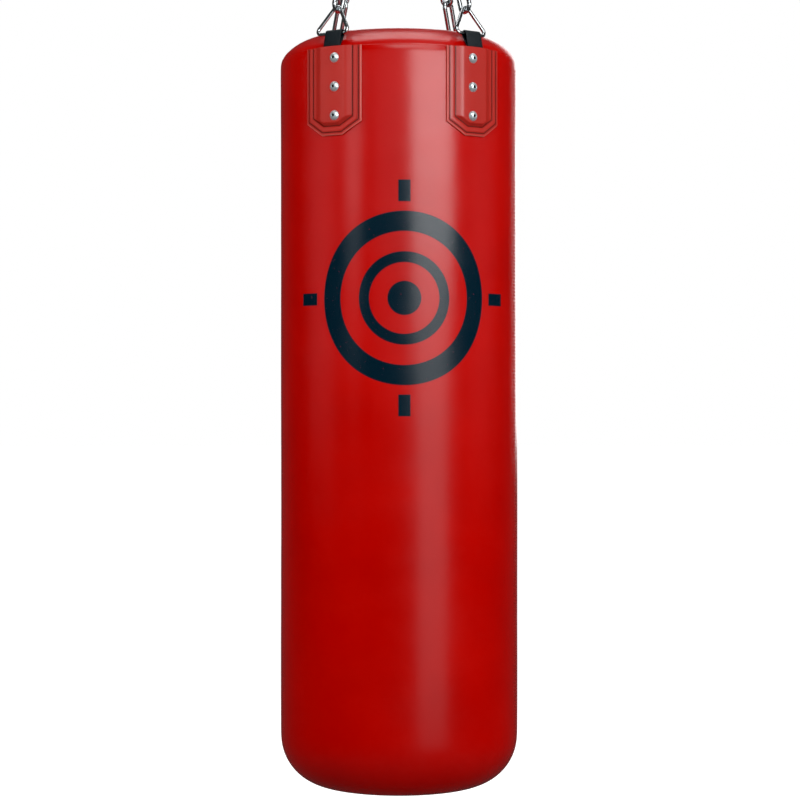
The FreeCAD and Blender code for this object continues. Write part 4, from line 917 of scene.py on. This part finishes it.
# ---------------------------------------------------------------- webbing straps
# A length of black webbing is doubled over each triangle ring's base bar. Its two layers lie against the
# bag under the patch, held by the rivets, and part above the seam to go round the bar.
STRAP_WIDTH = 0.025
STRAP_LAYER = 0.0015
STRAP_PLY = 0.0017
STRAP_LENGTH = 0.0975
BAR_INSET = 0.006
BAR_RISE = 0.018
LOOP_RADIUS = 0.0031
STRAP_STEP = 0.002
STRAP_CLEARANCE = 0.0002
OUTER_BEND = 0.004
INNER_BEND = 0.0025
FOOT_GAP = 0.0005


def rounded_path(corners, bend, steps=4):
    """Points along straight runs whose corners are replaced by short curves."""
    points = [corners[0]]
    for before, corner, after in zip(corners, corners[1:], corners[2:]):
        start = corner + (before - corner).normalized() * bend
        end = corner + (after - corner).normalized() * bend
        for step in range(steps + 1):
            share = step / steps
            points.append(start.lerp(corner, share).lerp(corner.lerp(end, share), share))
    return points + [corners[-1]]


def evenly(points, step):
    """The same path with points no further apart than a step."""
    path = [points[0]]
    for start, end in zip(points, points[1:]):
        parts = max(1, math.ceil((end - start).length / step))
        path += [start.lerp(end, part / parts) for part in range(1, parts + 1)]
    return path


def tangent_point(point, centre, radius, side):
    """Where the line from a point touches a circle on one side of it, in the (out, up) plane."""
    span = centre - point
    swing = math.asin(radius / span.length)
    reach = math.sqrt(span.length**2 - radius**2)
    turn = math.atan2(span.y, span.x) + side * swing
    return point + Vector((math.cos(turn), math.sin(turn))) * reach


def strap_path():
    """The doubled strap's middle line in the (out, up) plane, from its outer foot to its inner one."""
    centre = Vector((BAG_RADIUS - BAR_INSET, BAR_RISE))
    radius = LOOP_RADIUS + STRAP_PLY / 2
    outer = Vector((BAG_RADIUS + STRAP_CLEARANCE + 1.5 * STRAP_PLY, 0))
    inner = Vector((BAG_RADIUS + STRAP_CLEARANCE + 0.5 * STRAP_PLY, 0))
    down = Vector((0, -STRAP_LENGTH + FOOT_GAP))
    touch_out = tangent_point(outer, centre, radius, -1)
    touch_in = tangent_point(inner, centre, radius, 1)
    first = math.degrees(math.atan2(touch_out.y - centre.y, touch_out.x - centre.x))
    last = math.degrees(math.atan2(touch_in.y - centre.y, touch_in.x - centre.x)) % 360
    crown = [Vector(point) for point in arc_points(centre, radius, first, last, 16)]
    rise = rounded_path([outer + down, outer, touch_out], OUTER_BEND)
    fall = rounded_path([touch_in, inner, inner + down], INNER_BEND)
    return evenly(rise[:-1] + crown + fall[1:], STRAP_STEP)


def webbing_band(path):
    """A flat woven band with rounded edges, swept along a path, with its run and width kept on its points."""
    half = STRAP_WIDTH / 2
    thick = STRAP_LAYER / 2
    section = arc_points((half - thick, 0), thick, -90, 90, 4)
    section += [(-x, -y) for x, y in section]
    bm = bmesh.new()
    run_layer = bm.verts.layers.float.new("run")
    width_layer = bm.verts.layers.float.new("width")
    start = [bm.verts.new((x, y, 0)) for x, y in section]
    edges = [bm.edges.new(pair) for pair in zip(start, start[1:] + start[:1])]
    bm.faces.new(start[::-1])
    ring = start
    reach = 0.0
    for index, point in enumerate(path):
        before = path[max(0, index - 1)]
        after = path[min(len(path) - 1, index + 1)]
        along = (after - before).normalized()
        out = Vector((along.y, -along.x))
        if index:
            reach += (point - path[index - 1]).length
            grown = bmesh.ops.extrude_edge_only(bm, edges=edges)["geom"]
            ring = [item for item in grown if isinstance(item, bmesh.types.BMVert)]
            edges = [item for item in grown if isinstance(item, bmesh.types.BMEdge)]
            edges = [edge for edge in edges if edge.verts[0] in ring and edge.verts[1] in ring]
        for vert, (x, y) in zip(ring, section):
            place = point + out * y
            vert.co = (x, -place.x, place.y)
            vert[run_layer] = reach
            vert[width_layer] = x
    bm.faces.new(ring)
    bmesh.ops.recalc_face_normals(bm, faces=bm.faces)
    return bm


webbing, webbing_tree, webbing_shader = new_material("black_webbing")


def threads_along(attribute, pitch):
    """The angle that a thread's wave has reached, from a distance kept on the strap's points."""
    run = node(webbing_tree, "ShaderNodeAttribute", attribute_name=attribute).outputs["Fac"]
    return math_node(webbing_tree, "MULTIPLY", run, 2 * math.pi / pitch)


def hump(angle):
    """A thread's rounded back, from 0 to 1, over each full turn of the angle."""
    half_angle = math_node(webbing_tree, "MULTIPLY", angle, 0.5)
    return math_node(webbing_tree, "ABSOLUTE", math_node(webbing_tree, "SINE", half_angle))


WEFT_PITCH = 0.0011
WARP_PITCH = 0.0017
WEAVE_DEPTH = 0.0003
WEAVE_SLANT = 1.4
warp = threads_along("width", WARP_PITCH)
slant = math_node(webbing_tree, "MULTIPLY", math_node(webbing_tree, "SINE", warp), WEAVE_SLANT)
rib = hump(math_node(webbing_tree, "ADD", threads_along("run", WEFT_PITCH), slant))
column = math_node(webbing_tree, "MULTIPLY_ADD", hump(warp), 0.5, 0.5)
weave = math_node(webbing_tree, "MULTIPLY", rib, column)
webbing_colour = blend(webbing_tree, weave, (0.0006, 0.0015, 0.0022, 1), (0.0045, 0.0105, 0.0150, 1))
webbing_tree.links.new(webbing_colour, webbing_shader.inputs["Base Color"])
bumped(webbing_tree, webbing_shader, 0.8, WEAVE_DEPTH, weave)
webbing_shader.inputs["Roughness"].default_value = 0.65

for leg in LEGS:
    shape, middle_turn, top_height = patch_shapes[leg]
    bm = webbing_band(strap_path())
    turn = Matrix.Rotation(middle_turn, 4, "Z")
    bmesh.ops.transform(bm, matrix=Matrix.Translation((0, 0, top_height)) @ turn, verts=bm.verts)
    strap = new_piece("webbing_" + leg, bm)
    strap.data.materials.append(webbing)
    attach(strap, "bag")
    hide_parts("strap_" + leg)

# ---------------------------------------------------------------- rivets
# Three nickel-plated rivets hold each patch and strap. Each has a domed head with a punched hollow at its
# middle, and its shank goes through the leather and liner to a washer inside.
RIVET_RADIUS = 0.0066
RIVET_HEIGHT = 0.0044
RIVET_HOLLOW = 0.0019
RIVET_HOLLOW_DEPTH = 0.0018
RIVET_LIP = 0.0004
RIVET_SHANK = 0.0020
RIVET_SHANK_LENGTH = 0.0100
RIVET_SHIFT = 0.0065
RIVET_SEGMENTS = 48
rivet_low, rivet_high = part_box("strap_rivets")
cap_radius = (RIVET_RADIUS**2 + RIVET_HEIGHT**2) / (2 * RIVET_HEIGHT)
cap_centre = RIVET_HEIGHT - cap_radius
cap_first = math.degrees(math.asin((RIVET_HEIGHT * 0.12 - cap_centre) / cap_radius))
cap_last = math.degrees(math.acos(RIVET_HOLLOW * 1.25 / cap_radius))
lip_height = cap_centre + cap_radius * math.sin(math.radians(cap_last))
rivet_profile = [(0.0, -RIVET_SHANK_LENGTH), (RIVET_SHANK, -RIVET_SHANK_LENGTH), (RIVET_SHANK, -RIVET_LIP)]
rivet_profile += [(RIVET_RADIUS * 0.94, -RIVET_LIP), (RIVET_RADIUS, 0.0)]
rivet_profile.append((RIVET_RADIUS * 1.004, RIVET_HEIGHT * 0.05))
rivet_profile += arc_points((0, cap_centre), cap_radius, cap_first, cap_last, 14)
rivet_profile += [
    (RIVET_HOLLOW * 1.08, lip_height - RIVET_LIP / 4),
    (RIVET_HOLLOW, lip_height - RIVET_LIP),
    (RIVET_HOLLOW * 0.9, lip_height - RIVET_HOLLOW_DEPTH),
    (0.0, lip_height - RIVET_HOLLOW_DEPTH * 1.1),
]
rivet_rise = (rivet_high.z - rivet_low.z - 2 * RIVET_RADIUS) / 2
single = spun(rivet_profile, RIVET_SEGMENTS)
# The hollow's faces get the second material, a near-black painted shade.
for face in single.faces:
    middle = face.calc_center_median()
    face.material_index = int(middle.z > RIVET_HEIGHT / 3 and middle.xy.length < RIVET_HOLLOW)
single_rivet = bpy.data.meshes.new("single_rivet")
single.to_mesh(single_rivet)
single.free()
bm = bmesh.new()
for leg in LEGS:
    shape, middle_turn, top_height = patch_shapes[leg]
    across = math.copysign(RIVET_SHIFT, shape.shift)
    for step in range(3):
        height = rivet_high.z - RIVET_RADIUS - step * rivet_rise
        level = shape.level(across, top_height - height) + PATCH_LIFT
        place, out = on_side(middle_turn + across / BAG_RADIUS, height, BAG_RADIUS + level)
        turn = out.to_track_quat("Z", "Y").to_matrix().to_4x4()
        stamp(bm, single_rivet, Matrix.Translation(place) @ turn)
bpy.data.meshes.remove(single_rivet)
rivet_heads = new_piece("rivets", bm)
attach(rivet_heads, "bag")
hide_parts("strap_rivets")

# ---------------------------------------------------------------- steel hardware
# The hanging eye bolt, swivel and bearing are forged and turned steel, the master ring and chain are
# zinc plated, and the triangle rings, snap hooks, gates and rivets are brighter drawn and pressed steel.
metal_group, metal_in, metal_out = group_tree(
    "handled_metal",
    [("Brushing", "NodeSocketFloat", 60.0)],
    [("Tone", "NodeSocketFloat"), ("Smudge", "NodeSocketFloat"), ("Scratch", "NodeSocketFloat")],
)
metal_place = object_place(metal_group)
drawn = node(metal_group, "ShaderNodeMapping", {"Vector": metal_place, "Scale": (1.0, 1.0, 0.08)})
scratch_scale = math_node(metal_group, "MULTIPLY", metal_in.outputs["Brushing"], 60.0)
scratch = cloudy(metal_group, drawn.outputs[0], scratch_scale, 2.0, 0.7)
metal_group.links.new(cloudy(metal_group, metal_place, 45.0, 5.0, 0.6), metal_out.inputs["Tone"])
metal_group.links.new(cloudy(metal_group, metal_place, 130.0, 3.0, 0.55), metal_out.inputs["Smudge"])
metal_group.links.new(scratch, metal_out.inputs["Scratch"])


SCRATCH_DEPTH = 0.00004


def steel(name, dark, light, roughness, metallic=1.0):
    """Bare or plated steel: its tone and gloss drift, and fine drawn scratches bump it."""
    material, tree, shader = new_material(name)
    surface = node(tree, "ShaderNodeGroup", node_tree=metal_group)
    colour = blend(tree, surface.outputs["Tone"], (*dark, 1), (*light, 1))
    tree.links.new(colour, shader.inputs["Base Color"])
    gloss = ranged(tree, surface.outputs["Smudge"], 0.35, 0.7, roughness * 0.75, roughness * 1.5)
    tree.links.new(gloss, shader.inputs["Roughness"])
    bumped(tree, shader, 0.25, SCRATCH_DEPTH, surface.outputs["Scratch"])
    shader.inputs["Metallic"].default_value = metallic
    return material


def finish_nodes(material, *names):
    """Puts a material on CAD nodes, whose meshes are shown as they are."""
    for name in names:
        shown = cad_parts[name]
        if not shown.material_slots:
            shown.data.materials.append(material)
        for material_slot in shown.material_slots:
            material_slot.material = material


def legs_of(*stems):
    """The names of the four nodes of each stem, one on each leg."""
    return [f"{stem}_{leg}" for stem in stems for leg in LEGS]


finish_nodes(
    steel("forged_steel", (0.20, 0.20, 0.21), (0.42, 0.42, 0.43), 0.30),
    "hanging_eye_bolt",
    "eye_bolt_nut",
    "swivel_housing",
    "lower_eye",
    "lower_race",
    "upper_race",
)
finish_nodes(steel("bearing_steel", (0.50, 0.50, 0.52), (0.68, 0.68, 0.70), 0.08), "bearing_balls")
finish_nodes(
    steel("zinc_plate", (0.42, 0.44, 0.46), (0.66, 0.68, 0.70), 0.24),
    "master_ring",
    *legs_of("chain"),
)
finish_nodes(
    steel("bright_steel", (0.46, 0.49, 0.51), (0.72, 0.76, 0.78), 0.17),
    *legs_of("triangle_ring", "snap_hook", "hook_gate"),
)
finish_nodes(
    steel("spring_steel", (0.22, 0.22, 0.23), (0.40, 0.40, 0.41), 0.25),
    "cotter_pin",
    "gate_pins",
    *legs_of("gate_spring"),
)
nickel = steel("rivet_steel", (0.62, 0.70, 0.73), (0.82, 0.90, 0.93), 0.30, metallic=0.75)
rivet_heads.data.materials.append(nickel)
# Painted shade: near-black steel in the rivets' hollows.
rivet_heads.data.materials.append(steel("rivet_hollow_painted_shade", (0.015, 0.018, 0.022), (0.05, 0.055, 0.06), 0.5))
finish_nodes(nickel, "rivet_washers")
finish_nodes(steel("zip_metal", (0.45, 0.42, 0.35), (0.66, 0.62, 0.52), 0.28), "zip_slider", "zip_pull")
finish_nodes(
    steel("zip_teeth_metal", (0.55, 0.50, 0.38), (0.78, 0.72, 0.56), 0.34),
    "zip_teeth_front",
    "zip_teeth_rear",
)

# ---------------------------------------------------------------- seal, zip tapes and filling
# The swivel's dust seal is black rubber and the zip's tapes are woven. Inside the bag, a canvas liner holds
# a foam wrap, a foam pad at each end and a core of packed textile scraps.


def soft_material(name, dark, light, scale, depth, roughness, weave_pitch=0.0):
    """A dull material whose tone drifts, with a woven bump if it has a pitch and a grainy one if not."""
    material, tree, shader = new_material(name)
    place = object_place(tree)
    colour = blend(tree, cloudy(tree, place, scale, 5.0, 0.6), (*dark, 1), (*light, 1))
    tree.links.new(colour, shader.inputs["Base Color"])
    height = node(tree, "ShaderNodeTexVoronoi", {"Vector": place, "Scale": scale * 4}).outputs["Distance"]
    if weave_pitch:
        parts = node(tree, "ShaderNodeSeparateXYZ", {0: place})
        waves = []
        for axis in "XYZ":
            turns = math_node(tree, "MULTIPLY", parts.outputs[axis], 2 * math.pi / weave_pitch)
            waves.append(math_node(tree, "SINE", turns))
        height = math_node(tree, "MULTIPLY", waves[0], math_node(tree, "ADD", waves[1], waves[2]))
    bumped(tree, shader, 0.5, depth, height)
    shader.inputs["Roughness"].default_value = roughness
    return material


finish_nodes(
    soft_material("seal_rubber", (0.010, 0.010, 0.011), (0.022, 0.022, 0.023), 200.0, 0.0001, 0.6),
    "dust_seal",
)
finish_nodes(
    soft_material("zip_tape", (0.006, 0.006, 0.007), (0.018, 0.018, 0.020), 120.0, 0.0002, 0.8, 0.0009),
    "zip_tape_front",
    "zip_tape_rear",
)
finish_nodes(
    soft_material("liner_canvas", (0.42, 0.38, 0.30), (0.58, 0.54, 0.45), 30.0, 0.0003, 0.9, 0.0016),
    "canvas_liner",
)
finish_nodes(
    soft_material("foam", (0.55, 0.54, 0.50), (0.70, 0.69, 0.64), 60.0, 0.0006, 0.95),
    "foam_wrap",
    "top_pad",
    "bottom_pad",
)
finish_nodes(
    soft_material("textile_fill", (0.10, 0.11, 0.14), (0.42, 0.38, 0.36), 25.0, 0.002, 0.95),
    "fill_core",
)

shown_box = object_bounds()
rows = {
    "cad_box": [[round(value, 5) for value in corner] for corner in cad_box],
    "shown_box": [[round(value, 5) for value in corner] for corner in shown_box],
}
